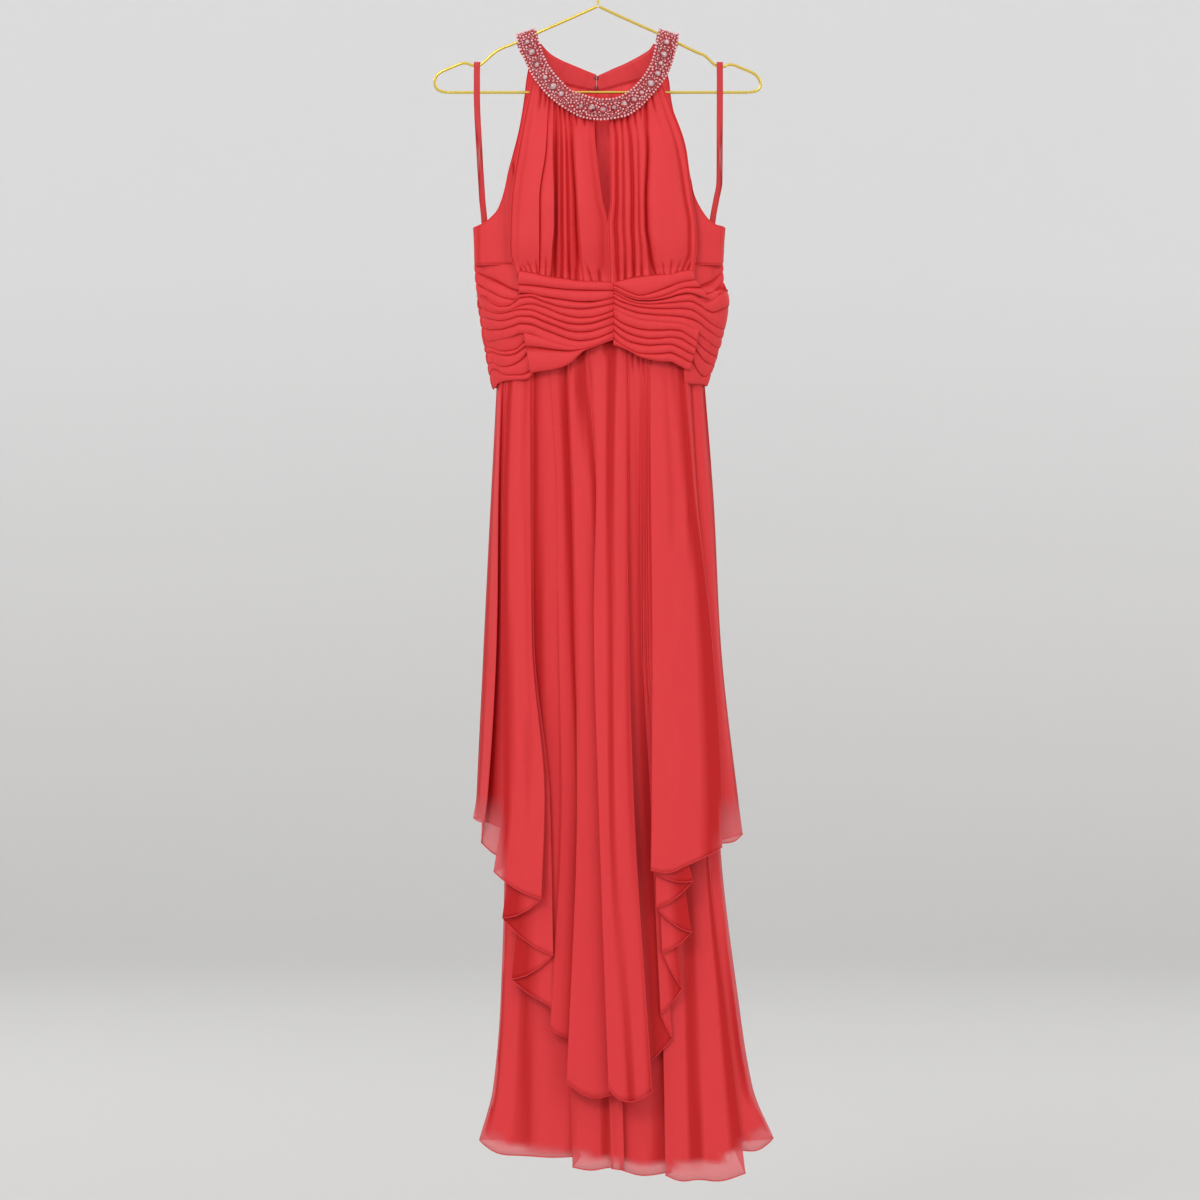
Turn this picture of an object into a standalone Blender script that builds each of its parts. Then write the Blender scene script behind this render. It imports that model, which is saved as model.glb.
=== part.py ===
"""High-low halter dress hanging on a gold wire hanger.

Frame: metres, +Z up, the dress faces -Y and the origin is the inside top of the hanger's hook.
The tables are in millimetres: x from the hanger's centre line (+ to the right, seen from the
front), drop below the hanger's apex, and depth in front of the hanger's plane.
"""

import math
from collections import namedtuple

import bpy
import numpy as np

# Driving sizes, metres
HOOK_RISE = 0.075        # from the hanger's apex up to the hook's inside top
HOOK_RADIUS = 0.019      # centre line of the hook's bow
WIRE_RADIUS = 0.0019
CHIFFON_WALL = 0.0010
SATIN_WALL = 0.0012
COLLAR_WALL = 0.0024
RIBBON_WALL = 0.0008
RIBBON_WIDTH = 0.0080
SEAM_GAP = 0.0003
CRYSTAL_RISE = 0.0020

MM = 0.001
SEAM = SEAM_GAP / MM / 2     # from the hanger's plane to a side seam's edge, millimetres
WIRE_SIDES = 8

# Colours of the materials: red, green, blue
CORAL = (0.67, 0.05, 0.06)
CORAL_DARK = (0.50, 0.03, 0.04)
PEARL = (0.80, 0.30, 0.33)
GOLD = (0.85, 0.60, 0.20)
STEEL = (0.35, 0.33, 0.33)

# Rows of the tables
Thread = namedtuple("Thread", "name top_x top_drop xs end_x end_drop into out gather")
Level = namedtuple("Level", "drop value")
HemPoint = namedtuple("HemPoint", "share drop")
Edge = namedtuple("Edge", "drop left right")
Station = namedtuple("Station", "inner_x inner_drop outer_x outer_drop depth")
Spot = namedtuple("Spot", "x drop")
Strand = namedtuple("Strand", "x drop depth turn")
Tuck = namedtuple("Tuck", "outer_x drops")
BackRow = namedtuple("BackRow", "outer_x outer_drop inner_drop")

# ---- tables: the skirt ----
# Overlay front, from the left side seam to the right one. Each row is a fold edge or a crease:
# its x at the waist, at three drops and at the hem, the hem's drop, how far the layers on its two
# sides stand before the skirt's base curve, and the height of its gather at the waist.
OVERLAY_DROPS = (646, 828, 1036)
OVERLAY_FRONT = (
    Thread("seam_left", -131, 482, (-140, -149, -159), -163, 1060, 0, 0, 0),
    Thread("side_turn_left", -129, 482, (-138, -147, -157), -161, 1061, 0, 0, 0),
    Thread("band_left", -126, 481, (-131, -136, -147), -148, 1065, 8, 4, 0),
    Thread("tuck_left", -124, 481, (-129, -139, -151), -152, 1092, -5, -9, 0),
    Thread("under_left", -121, 480, (-124, -120, -113), -113, 1114, -9, -2, 0),
    Thread("front_left_a", -117, 480, (-124, -124, -123), -135, 1128, 5, 12, 0),
    Thread("crease_left", -90, 472, (-94, -90, -83), -88, 1152, 13, 13, -2),
    Thread("edge_a", -87, 469, (-83, -81, -69), -73, 1162, 15, 9.5, 2),
    Thread("back_a", -86, 469, (-86, -92, -105), -124, 1188, 7.5, 2.5, 0),
    Thread("edge_b", -84, 468, (-81, -74, -62), -58, 1236, 1.5, -3, 0),
    Thread("back_b", -83, 468, (-82, -84, -91), -112, 1268, -4, -9, 0),
    Thread("panel_c", -65, 467, (-55, -53, -47), -62, 1327, -7, -7, 1),
    Thread("under_c", -42, 463, (-26, -21, -16), -16, 1361, -9, -4, -3),
    Thread("edge_d", -39, 462, (-32, -29, -27), -40, 1400, -1, 5, 2),
    Thread("gather_d", -26, 455, (-16, -13, -10), -10, 1418, 6, 6, -3),
    Thread("under_d", -13, 448, (3, 8, 16), 31, 1416, 3, 9, 0),
    Thread("edge_e", -15, 445, (-6, -5, 1), 14, 1410, 12, 17, -1),
    Thread("gather_e", 3, 438, (5, 6, 9), 23, 1422, 18, 18, 3),
    Thread("crease_e", 20, 434, (15, 17, 19), 42, 1425, 12, 12, -4),
    Thread("ridge_e", 29, 438, (27, 29, 32), 55, 1424, 16, 16, 2),
    Thread("edge_e_right", 39, 446, (36, 38, 43), 70, 1420, 13, 6, -4),
    Thread("under_e", 38, 447, (34, 31, 29), 47, 1394, 2, -6, 0),
    Thread("ridge_f", 47, 451, (46, 47, 55), 74, 1361, -8, -8, 3),
    Thread("edge_f", 53, 454, (54, 61, 74), 96, 1347, -10, -6, -1),
    Thread("under_f", 56, 455, (58, 61, 68), 81, 1312, -6, -2.5, -2),
    Thread("edge_g", 60, 456, (61, 68, 83), 109, 1279, -2.5, 1, 1),
    Thread("edge_h", 62, 458, (62, 66, 75), 83, 1232, 1, 5, -1),
    Thread("edge_h_right", 63, 458, (68, 74, 96), 121, 1206, 5, 9, 0),
    Thread("under_h", 64, 459, (65, 68, 74), 75, 1173, 9, 13, -1),
    Thread("edge_i", 65, 459, (70, 78, 96), 123, 1139, 13, 17, 0),
    Thread("edge_j", 66, 459, (69, 69, 69), 68, 1124, 17, 22, 1),
    Thread("ridge_j", 86, 462, (95, 98, 100), 96, 1121, 21, 21, 0),
    Thread("valley_j", 101, 465, (112, 114, 116), 114, 1108, 16, 16, 0),
    Thread("edge_j_right", 114, 469, (127, 148, 160), 161, 1096, 18, 10, 2),
    Thread("under_j", 122, 477, (131, 144, 152), 153, 1091, 4, 0, -1),
    Thread("band_right", 129, 480, (136, 151, 164), 168, 1087, 2, 2, 0),
    Thread("ridge_right", 133, 481, (143, 155, 174), 179, 1086, 4, 4, 0),
    Thread("side_turn_right", 136, 482, (150, 159, 181), 187, 1082, 0, 0, 0),
    Thread("seam_right", 137, 482, (151, 160, 183), 189, 1082, 0, 0, 0),
)
OVERLAY_EDGE = (
    Edge(464, -131, 138),
    Edge(497, -132, 138),
    Edge(646, -140, 151),
    Edge(828, -149, 160),
    Edge(1036, -159, 183),
    Edge(1166, -165, 198),
    Edge(1426, -172, 211),
)
# How far the overlay's base curve stands before the hanger's plane at the centre
OVERLAY_BASE = (
    Level(425, 34),
    Level(516, 38),
    Level(646, 43),
    Level(828, 48),
    Level(1036, 54),
    Level(1231, 57),
    Level(1426, 60),
)
# Share of a fold's full depth at each drop, and of its waist gather
FOLD_SHARE = (
    Level(438, 0.03),
    Level(477, 0.06),
    Level(542, 0.3),
    Level(620, 0.55),
    Level(724, 0.8),
    Level(906, 1.0),
    Level(1556, 1.0),
)
GATHER_SHARE = (
    Level(425, 1.1),
    Level(490, 1.0),
    Level(620, 0.55),
    Level(828, 0.2),
    Level(1062, 0.0),
    Level(1556, 0.0),
)

UNDERSKIRT_DROPS = (828, 1101, 1296, 1413)
UNDERSKIRT_FRONT = (
    Thread("seam_left", -124, 480, (-126, -122, -127, -137), -155, 1481, 0, 0, 0),
    Thread("side_turn_left", -122, 480, (-125, -121, -125, -135), -151, 1485, 0, 0, 0),
    Thread("ridge_a", -112, 474, (-112, -109, -114, -120), -130, 1498, 3, 3, 0),
    Thread("valley_a", -96, 469, (-94, -88, -91, -94), -96, 1498, -3, -3, 0),
    Thread("ridge_b", -75, 464, (-70, -66, -64, -62), -61, 1500, 2, 2, 0),
    Thread("under_b", -52, 459, (-44, -39, -32, -29), -23, 1498, -4, 1, 0),
    Thread("edge_c", -49, 458, (-43, -40, -36, -35), -33, 1511, 4, 7, 0),
    Thread("ridge_c", -30, 451, (-26, -21, -16, -13), -10, 1516, 7, 7, 0),
    Thread("valley_c", -13, 446, (-8, 0, 6, 9), 10, 1512, 4, 4, 0),
    Thread("under_d", -6, 443, (1, 9, 15, 18), 20, 1511, 4, 7.5, 0),
    Thread("edge_d", -4, 443, (3, 8, 13, 15), 18, 1512, 9, 12, 0),
    Thread("edge_d_right", 10, 441, (17, 23, 29, 31), 34, 1514, 13, 9, 0),
    Thread("under_e", 14, 441, (18, 22, 25, 27), 28, 1514, 5, 2, 0),
    Thread("ridge_e", 31, 446, (36, 42, 47, 49), 52, 1522, 4, 4, 0),
    Thread("valley_e", 47, 451, (55, 60, 65, 68), 70, 1522, 1, 1, 0),
    Thread("under_f", 62, 456, (73, 81, 88, 92), 96, 1517, 1, 6, 0),
    Thread("edge_f", 62, 456, (70, 75, 83, 86), 88, 1521, 7, 11, 0),
    Thread("ridge_f", 75, 462, (86, 96, 103, 105), 108, 1530, 12, 12, 0),
    Thread("valley_f", 91, 467, (104, 116, 122, 126), 130, 1526, 7, 7, 0),
    Thread("ridge_g", 107, 472, (122, 135, 148, 153), 159, 1531, 12, 12, 0),
    Thread("edge_g", 118, 477, (135, 147, 165, 179), 191, 1520, 10, 5, 0),
    Thread("under_g", 120, 478, (134, 142, 156, 168), 178, 1490, 2, -1, 0),
    Thread("ridge_h", 125, 480, (140, 153, 176, 192), 207, 1495, 0, 0, 0),
    Thread("side_turn_right", 130, 480, (146, 158, 180, 199), 226, 1482, 0, 0, 0),
    Thread("seam_right", 131, 480, (147, 160, 183, 202), 229, 1478, 0, 0, 0),
)
UNDERSKIRT_EDGE = (
    Edge(438, -124, 131),
    Edge(828, -126, 147),
    Edge(1101, -122, 160),
    Edge(1296, -127, 183),
    Edge(1413, -137, 202),
    Edge(1481, -155, 229),
    Edge(1537, -166, 250),
)
UNDERSKIRT_BASE = (
    Level(438, 19),
    Level(828, 25),
    Level(1101, 30),
    Level(1296, 33.5),
    Level(1478, 43),
    Level(1537, 45),
)
UNDERSKIRT_SHARE = (
    Level(438, 0.1),
    Level(828, 0.25),
    Level(1101, 0.5),
    Level(1296, 0.75),
    Level(1478, 1.0),
    Level(1537, 1.0),
)
LINING_EDGE = (
    Edge(438, -117, 125),
    Edge(828, -120, 140),
    Edge(1101, -114, 152),
    Edge(1296, -120, 173),
    Edge(1413, -129, 192),
    Edge(1473, -142, 216),
    Edge(1517, -147, 221),
)
LINING_BASE = (
    Level(438, 10),
    Level(828, 13),
    Level(1101, 17),
    Level(1296, 21),
    Level(1511, 27),
)
# The lining's hem, from the left side seam (share 0) to the right one (share 1)
LINING_HEM = (
    HemPoint(0.0, 1469),
    HemPoint(0.15, 1486),
    HemPoint(0.32, 1490),
    HemPoint(0.45, 1499),
    HemPoint(0.6, 1505),
    HemPoint(0.8, 1503),
    HemPoint(0.92, 1478),
    HemPoint(1.0, 1462),
)

# Folds lie over one another from the first of these drops, fully from the second
OVERLAY_FOLD_START = (560, 800)
UNDERSKIRT_FOLD_START = (1050, 1330)
SPREAD = 2.4                 # distance between neighbours where they don't

# Back panels: folds, the hem's drop at the left seam, how far it dips at the centre back and
# ends lower at the right seam, the depth against the front's, and the height of the folds
BACK_TOP = 478               # drop of every back skirt panel's and the lining front's top
OVERLAY_BACK_FOLDS = 21
OVERLAY_BACK_HEM = 1060
OVERLAY_BACK_DIP = 40
OVERLAY_BACK_RISE = 22
OVERLAY_BACK_SHARE = 0.62
OVERLAY_BACK_RELIEF = 5.0
UNDERSKIRT_BACK_FOLDS = 17
UNDERSKIRT_BACK_HEM = 1480
UNDERSKIRT_BACK_DIP = 12
UNDERSKIRT_BACK_SHARE = 0.7
UNDERSKIRT_BACK_RELIEF = 4.0
LINING_FRONT_FOLDS = 13
LINING_BACK_FOLDS = 11
LINING_BACK_DIP = 8
LINING_BACK_SHARE = 0.75
LINING_RELIEF = 1.5
# Plain folds: their places and heights vary with the sine of the fold's number
FOLD_WANDER = 0.3            # share of the spacing that a fold strays
WANDER_TURN = 2.1
WANDER_START = 0.6
TROUGH_SHARE = 0.8           # height of a fold that goes in against one that comes out
HEIGHT_VARIES = 0.25
HEIGHT_TURN = 1.7

# Rows of points down each panel
OVERLAY_ROWS = 11
OVERLAY_BACK_ROWS = 9
UNDERSKIRT_ROWS = 11
UNDERSKIRT_BACK_ROWS = 10
LINING_ROWS = 8
BODICE_ROWS = 11
SIDE_PANEL_ROWS = 6

# ---- tables: the bodice ----
BODICE_CENTRE_X = 8.0
KEYHOLE_DIP = 0.10
KEYHOLE_DIP_REACH = 24.0
BODICE_DROPS = (191, 255, 290, 321)
BODICE_LEFT = (
    Thread("armhole", -84.5, 91, (-110, -112.5, -113, -114), -104.5, 356, 0, 0, 0),
    Thread("cup_side", -80.5, 95, (-102.5, -105.5, -106.5, -108), -100, 356, 0, 0, 0),
    Thread("cup_a", -74, 102.5, (-87, -92.5, -95, -97.5), -93.5, 357, 1, 1, 0),
    Thread("cup_b", -69, 108, (-76.5, -82, -84.5, -87), -87, 357.5, 1.5, 1.5, 0),
    Thread("valley_1", -65.5, 112, (-73.5, -77.5, -78, -79.5), -81, 358, -2.5, -2.5, 0),
    Thread("ridge_1", -62, 115.5, (-67.5, -71.5, -71.5, -73), -75.5, 359, 2, 2, 0),
    Thread("valley_2", -57, 120, (-61, -63.5, -65, -66.5), -69, 359.5, -3, -3, 0),
    Thread("ridge_2", -54, 123.5, (-57, -58.5, -59, -60.5), -63, 360, 2, 2, 0),
    Thread("valley_3", -50.5, 126, (-52.5, -52.5, -52.5, -54), -57, 361.5, -5, -5, 0),
    Thread("ridge_3", -47, 128.5, (-48, -48, -48, -49), -51.5, 362, 1.5, 1.5, 0),
    Thread("valley_4", -42, 131.5, (-43.5, -43.5, -43.5, -43.5), -45.5, 362.5, -4.5, -4.5, 0),
    Thread("ridge_4", -37.5, 134, (-38.5, -38.5, -38.5, -38.5), -39.5, 364, 2, 2, 0),
    Thread("valley_5", -32.5, 137, (-32.5, -32.5, -32.5, -32.5), -34, 365.5, -4.5, -4.5, 0),
    Thread("ridge_5", -27.5, 140.5, (-26.5, -25.5, -25.5, -26), -27.5, 366, 2.5, 2.5, 0),
    Thread("valley_6", -21, 143, (-19.5, -15.5, -15.5, -17.5), -19.5, 366.5, -1.5, -1.5, 0),
    Thread("ridge_6", -14.5, 145, (-12.5, -6.5, -4, -8), -9, 368, 2, 2, 0),
    Thread("valley_7", -10.5, 145.5, (-8, 0, 5, 2.5), 1.5, 369, -1, -1, 0),
    Thread("keyhole", -7, 146, (-4, 5.5, 12.5, 14), 15, 370, 0, 0, 0),
)
BODICE_RIGHT = (
    Thread("keyhole", 15, 146, (16, 15, 13.5, 14.5), 15.5, 370, 0, 0, 0),
    Thread("valley_1", 18, 145.5, (19, 18, 17.5, 18), 19.5, 369, -2, -2, 0),
    Thread("ridge_1", 23, 145, (23.5, 23, 22, 23.5), 25.5, 369, 2, 2, 0),
    Thread("valley_2", 30, 143, (28.5, 26, 26, 28), 31, 366.5, -3, -3, 0),
    Thread("ridge_2", 34, 141, (34, 33, 33, 34.5), 36.5, 365.5, 2, 2, 0),
    Thread("valley_3", 37.5, 139, (39, 40.5, 40.5, 41), 41.5, 364, -3.5, -3.5, 0),
    Thread("ridge_3", 42, 137, (44, 46, 46, 47), 47, 362.5, 1.5, 1.5, 0),
    Thread("valley_4", 47, 134.5, (49.5, 52, 52, 52.5), 52.5, 362, -3, -3, 0),
    Thread("ridge_4", 51.5, 131.5, (54.5, 57, 58, 58.5), 58.5, 361.5, 2, 2, 0),
    Thread("valley_5", 56, 127.5, (58.5, 62, 63.5, 67.5), 69, 361, -5, -5, 0),
    Thread("ridge_5", 61, 122, (67.5, 71.5, 75.5, 76.5), 75.5, 360, 2, 2, 0),
    Thread("cup_a", 67.5, 115.5, (80.5, 88.5, 91, 91), 83, 359.5, 1.5, 1.5, 0),
    Thread("cup_b", 71.5, 110.5, (91, 101.5, 105.5, 105.5), 92.5, 359, -1, -1, 0),
    Thread("cup_c", 74, 108, (97.5, 109, 114.5, 114), 101.5, 358, 1.5, 1.5, 0),
    Thread("cup_side", 78, 104, (106.5, 116.5, 121.5, 121.5), 112, 357.5, 0, 0, 0),
    Thread("armhole", 82, 99, (113.5, 121, 126, 127), 122, 356, 0, 0, 0),
)
BODICE_EDGE = (
    Edge(89.5, -83, 80.5),
    Edge(100, -86, 83),
    Edge(191, -110, 113.5),
    Edge(255, -112.5, 121),
    Edge(290, -113, 126),
    Edge(321, -114, 127),
    Edge(356, -104.5, 122),
    Edge(373, -104, 122),
)
BODICE_BASE = (
    Level(87, 7),
    Level(126, 12),
    Level(151, 16),
    Level(171.5, 25),
    Level(191, 31),
    Level(230, 39),
    Level(269, 44),
    Level(308, 44),
    Level(347, 39.5),
    Level(373, 38.5),
)
# Share of the base depth that is left at the armhole and cup edge
CUP_EDGE_SHARE = (
    Level(87, 0.6),
    Level(191, 0.5),
    Level(256, 0.62),
    Level(308, 0.76),
    Level(373, 0.78),
)
RIPPLE_SHARE = (
    Level(87, 0.35),
    Level(151, 0.45),
    Level(191, 0.8),
    Level(308, 1.0),
    Level(344.5, 0.8),
    Level(373, 0.5),
)
BODY_BASE = (
    Level(74, 13.5),
    Level(106.5, 13.5),
    Level(152, 14),
    Level(217, 16),
    Level(290, 21),
    Level(336.5, 24),
    Level(386, 26),
    Level(503, 28),
)
SIDE_BASE = (
    Level(191, 12),
    Level(214.5, 14),
    Level(256, 20),
    Level(295, 26),
    Level(339.5, 30),
)
SIDE_LEFT = (
    Thread("seam", -162.5, 290.5, (), -161, 335, 0, 0, 0),
    Thread("turn", -160.5, 289.5, (), -159.5, 335, 0, 0, 0),
    Thread("strap", -145.5, 283.5, (), -145.5, 335, 0, 0, 0),
    Thread("under_arm", -136.5, 275, (), -137, 335, 0, 0, 0),
    Thread("arm_low", -130, 268, (), -130, 335, 0, 0, 0),
    Thread("arm", -123, 248.5, (), -121, 335, -1, -1, 0),
    Thread("arm_high", -119, 230, (), -113, 335, -1, -1, 0),
    Thread("under_cup", -115, 214.5, (), -105.5, 335, -1, -1, 0),
    Thread("inner", -110.5, 201.5, (), -96, 335, -1, -1, 0),
)
SIDE_RIGHT = (
    Thread("inner", 112, 199, (), 112, 335, -1, -1, 0),
    Thread("under_cup", 117, 214.5, (), 119.5, 335, -1, -1, 0),
    Thread("arm_high", 121.5, 230, (), 127.5, 335, -1, -1, 0),
    Thread("arm", 124, 247, (), 131.5, 335, -1, -1, 0),
    Thread("arm_low", 132.5, 265, (), 136.5, 335, 0, 0, 0),
    Thread("under_arm", 143, 280, (), 144.5, 335, 0, 0, 0),
    Thread("strap", 153.5, 287.5, (), 153.5, 335, 0, 0, 0),
    Thread("turn", 163.5, 290, (), 161, 335, 0, 0, 0),
    Thread("seam", 165.5, 290.5, (), 163, 335, 0, 0, 0),
)
BODY_EDGE = (
    Edge(61, -162.5, 165.5),
    Edge(290.5, -162.5, 165.5),
    Edge(335, -161, 163),
    Edge(340.5, -161, 163),
)
BACK_CENTRE_X = -3
BACK_LEFT = (
    BackRow(-89.5, 74, 105.5),
    BackRow(-93.5, 97.5, 126),
    BackRow(-96, 119.5, 141.5),
    BackRow(-102.5, 158.5, 170.5),
    BackRow(-110.5, 191, 197.5),
    BackRow(-117.5, 217, 221),
    BackRow(-123.5, 248.5, 249.5),
    BackRow(-130.5, 268, 270.5),
    BackRow(-145.5, 283.5, 286),
    BackRow(-162.5, 290.5, 297.5),
    BackRow(-161.5, 312, 316),
    BackRow(-161, 335, 335),
)
BACK_RIGHT = (
    BackRow(87, 76.5, 105.5),
    BackRow(92.5, 97.5, 126),
    BackRow(95, 119.5, 141.5),
    BackRow(104, 158.5, 170.5),
    BackRow(114, 191, 197.5),
    BackRow(119.5, 217, 221),
    BackRow(124.5, 247, 249.5),
    BackRow(133, 265, 269),
    BackRow(149.5, 283.5, 286),
    BackRow(165.5, 290.5, 297.5),
    BackRow(164, 312, 316),
    BackRow(163, 335, 335),
)
BACK_SHARES = (0.0, 0.03, 0.12, 0.28, 0.5, 0.75, 1.0)

# ---- tables: the waistband's tucks ----
# One row for each stitched tuck line: the x of the piece's outer edge, then the line's drop at
# that edge and at each station.
FRONT_LEFT_STATIONS = (-75.5, -57, -36.5, -10.5, 19)
WAIST_FRONT_LEFT = (
    Tuck(-103.5, (347, 351.5, 355.5, 359, 362, 364)),
    Tuck(-103.5, (364.5, 367.5, 370, 372, 372, 372)),
    Tuck(-104, (376, 380.5, 383.5, 385, 385.5, 380)),
    Tuck(-102.5, (387, 389.5, 394.5, 398, 397.5, 390.5)),
    Tuck(-101.5, (396.5, 400.5, 407, 410.5, 408.5, 400.5)),
    Tuck(-100, (402.5, 407.5, 414, 417.5, 416, 409.5)),
    Tuck(-99, (409.5, 416.5, 423.5, 426.5, 426, 417.5)),
    Tuck(-97.5, (418.5, 425, 433, 438, 435.5, 424.5)),
    Tuck(-95.5, (428.5, 437, 443.5, 448.5, 442.5, 429)),
    Tuck(-92.5, (444.5, 451, 454.5, 456.5, 446.5, 432.5)),
    Tuck(-89, (461.5, 465, 465.5, 463, 450, 435.5)),
    Tuck(-86, (479, 478, 476, 470, 453, 439)),
)
FRONT_RIGHT_STATIONS = (19.8, 41.5, 60, 80.5, 100)
WAIST_FRONT_RIGHT = (
    Tuck(122, (348, 363.5, 358, 354, 352.5, 351)),
    Tuck(131.5, (362, 368, 373, 379, 375.5, 366)),
    Tuck(140.5, (375.5, 377, 381.5, 385.5, 383.5, 374.5)),
    Tuck(147, (387.5, 385, 388, 392.5, 392.5, 385)),
    Tuck(147.5, (400.5, 392, 396.5, 401, 401, 395)),
    Tuck(143, (411, 400.5, 405.5, 409.5, 411, 407)),
    Tuck(136.5, (421, 409.5, 414, 418, 420, 418.5)),
    Tuck(130, (431.5, 417.5, 422.5, 427, 430.5, 430.5)),
    Tuck(126, (447, 425, 431.5, 438, 442, 444)),
    Tuck(122, (462, 433, 442, 449, 454.5, 456.5)),
    Tuck(118.5, (476.5, 439.5, 452.5, 460, 465.5, 469.5)),
)
SIDE_LEFT_STATIONS = (-140.5, -123.5, -108, -93)
WAIST_SIDE_LEFT = (
    Tuck(-161, (335.5, 336, 336.5, 336.5, 336.5)),
    Tuck(-160.5, (347, 355, 364, 372, 375.5)),
    Tuck(-159.5, (361.5, 373, 382, 385, 385)),
    Tuck(-157.5, (375.5, 387.5, 394, 391.5, 390)),
    Tuck(-154, (390, 398.5, 403, 399, 398)),
    Tuck(-151.5, (404.5, 409.5, 411.5, 407, 405.5)),
    Tuck(-149.5, (418.5, 421, 421, 416, 414.5)),
    Tuck(-147, (434, 433, 431, 429, 429)),
    Tuck(-145, (451, 447, 446, 446, 446)),
    Tuck(-143, (466.5, 464, 460, 459, 459)),
    Tuck(-139, (482.5, 481, 477, 473, 473)),
    Tuck(-136.5, (499, 496, 490, 489, 487.5)),
)
SIDE_RIGHT_STATIONS = (117, 132.5, 148)
WAIST_SIDE_RIGHT = (
    Tuck(162.5, (335.5, 336.5, 336.5, 336)),
    Tuck(163, (347, 373, 366.5, 359)),
    Tuck(163.5, (360, 383.5, 379.5, 374.5)),
    Tuck(169, (374.5, 391.5, 390, 386)),
    Tuck(170, (387.5, 400.5, 400.5, 396.5)),
    Tuck(167.5, (401.5, 409.5, 409.5, 405.5)),
    Tuck(165, (416.5, 420, 420, 418)),
    Tuck(162.5, (431.5, 434, 434, 433)),
    Tuck(157.5, (448.5, 450, 451, 451)),
    Tuck(153.5, (464, 464, 465.5, 465.5)),
    Tuck(148, (479.5, 477, 478.5, 478.5)),
    Tuck(142.5, (496.5, 490, 491.5, 494)),
)
WAIST_EDGE = (
    Edge(334, -161, 162.5),
    Edge(370.5, -159, 163.5),
    Edge(375.5, -157.5, 169.5),
    Edge(387.5, -154.5, 170),
    Edge(412, -151, 166.5),
    Edge(442, -146, 160),
    Edge(470.5, -142.5, 151.5),
    Edge(499, -136.5, 142.5),
)
EDGE_CLEAR = 5.0             # a station stays this far inside the outer edge
WAIST_BASE = 46.0            # depth of the front waistband at the centre
WAIST_BACK_BASE = 27.0
TUCK_RISE = 1.5              # how far a tuck's lower edge stands before the line under it
TUCK_GAP = 0.3               # between a tuck's edge and its stitched line
FRONT_BAND_COLUMNS = 9
SIDE_LEFT_COLUMNS = 6
SIDE_RIGHT_COLUMNS = 5
WAIST_STEP_SHARE = 0.35      # the step below fades where the band's depth is under this share
# How far the waistband's side pieces lie behind its front pieces
WAIST_SIDE_STEP = (
    Level(327.5, 14.0),
    Level(357.5, 13.0),
    Level(386, 5.0),
    Level(418.5, 4.4),
    Level(444.5, 5.5),
    Level(503, 6.0),
)
WAIST_BACK_TOP = 337.0       # drops of the back waistband's edges at the centre
WAIST_BACK_BOTTOM = 486.0
WAIST_BACK_SHARES = (0, 0.02, 0.08, 0.2, 0.35, 0.5, 0.65, 0.8, 0.92, 0.98, 1)

# ---- tables: collar, ribbons and hanger ----
COLLAR_COLUMNS = 49
COLLAR_ROWS = 6
COLLAR_BELLY = 1.0           # how far the beaded band bulges between its edges
COLLAR_FACE = 3.0            # the crystals sit where the band is this far in front
COLLAR_BACK_COLUMNS = 10
COLLAR_BACK_ROWS = 3
COLLAR_FRONT = (
    Station(-77.4, 46.1, -104.6, 54.6, -4.8),
    Station(-79.6, 35.1, -106, 43.6, -4.2),
    Station(-81.9, 30.7, -106, 38.7, 0),
    Station(-81.6, 35.1, -105.3, 42.9, 4.4),
    Station(-78, 44.8, -103.4, 52, 6),
    Station(-71.5, 65, -96.2, 70.2, 8),
    Station(-63.7, 80.6, -88.4, 87.1, 10),
    Station(-55.2, 92.3, -79.3, 101.4, 12),
    Station(-45.5, 102.7, -67.6, 115.7, 14),
    Station(-35.1, 112.4, -54.6, 127.4, 16),
    Station(-22.1, 117, -37.7, 139.1, 18),
    Station(-9.1, 121.2, -19.5, 148.2, 19.5),
    Station(2.6, 123.5, 2.6, 151.1, 20),
    Station(14.3, 123.5, 18.2, 149.5, 19.5),
    Station(27.3, 120.9, 36.4, 145.6, 18),
    Station(39, 113.8, 53.3, 135.2, 16),
    Station(48.1, 106.6, 65, 123.5, 14),
    Station(57.2, 96.2, 76.7, 109.8, 12),
    Station(65, 84.5, 85.8, 97.5, 10),
    Station(71.5, 68.9, 93, 85.8, 8),
    Station(75.4, 52, 100.1, 63.7, 6),
    Station(79, 37.7, 104, 45.5, 4.4),
    Station(79.6, 31.2, 104.8, 38.7, 0),
    Station(77.5, 36.4, 104.8, 44.2, -4.2),
    Station(75.4, 46.1, 103.4, 54.6, -4.8),
)
COLLAR_BACK_LEFT = (
    Station(-74.9, 48.8, -102.7, 57.8, -4.8),
    Station(-68.9, 55.9, -93.6, 71.5, -5.6),
    Station(-61.1, 63, -81.9, 84.5, -7),
    Station(-48.1, 70.2, -65, 93.6, -8.6),
    Station(-28, 78.6, -42.9, 100.8, -10),
    Station(-16.9, 83.2, -26, 104.6, -10.6),
    Station(-4.4, 89, -6.2, 109.2, -11),
)
COLLAR_BACK_RIGHT = (
    Station(0.5, 91, 0.3, 109.6, -11),
    Station(18.2, 81.9, 23.4, 102.7, -10.6),
    Station(33.8, 75.4, 46.8, 96.8, -10),
    Station(49.4, 67.6, 66.3, 93.6, -8.6),
    Station(61.1, 61.1, 80.6, 84.5, -7),
    Station(67.6, 56.6, 92.3, 71.5, -5.6),
    Station(73.1, 48.8, 101.4, 57.8, -4.8),
)
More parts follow.
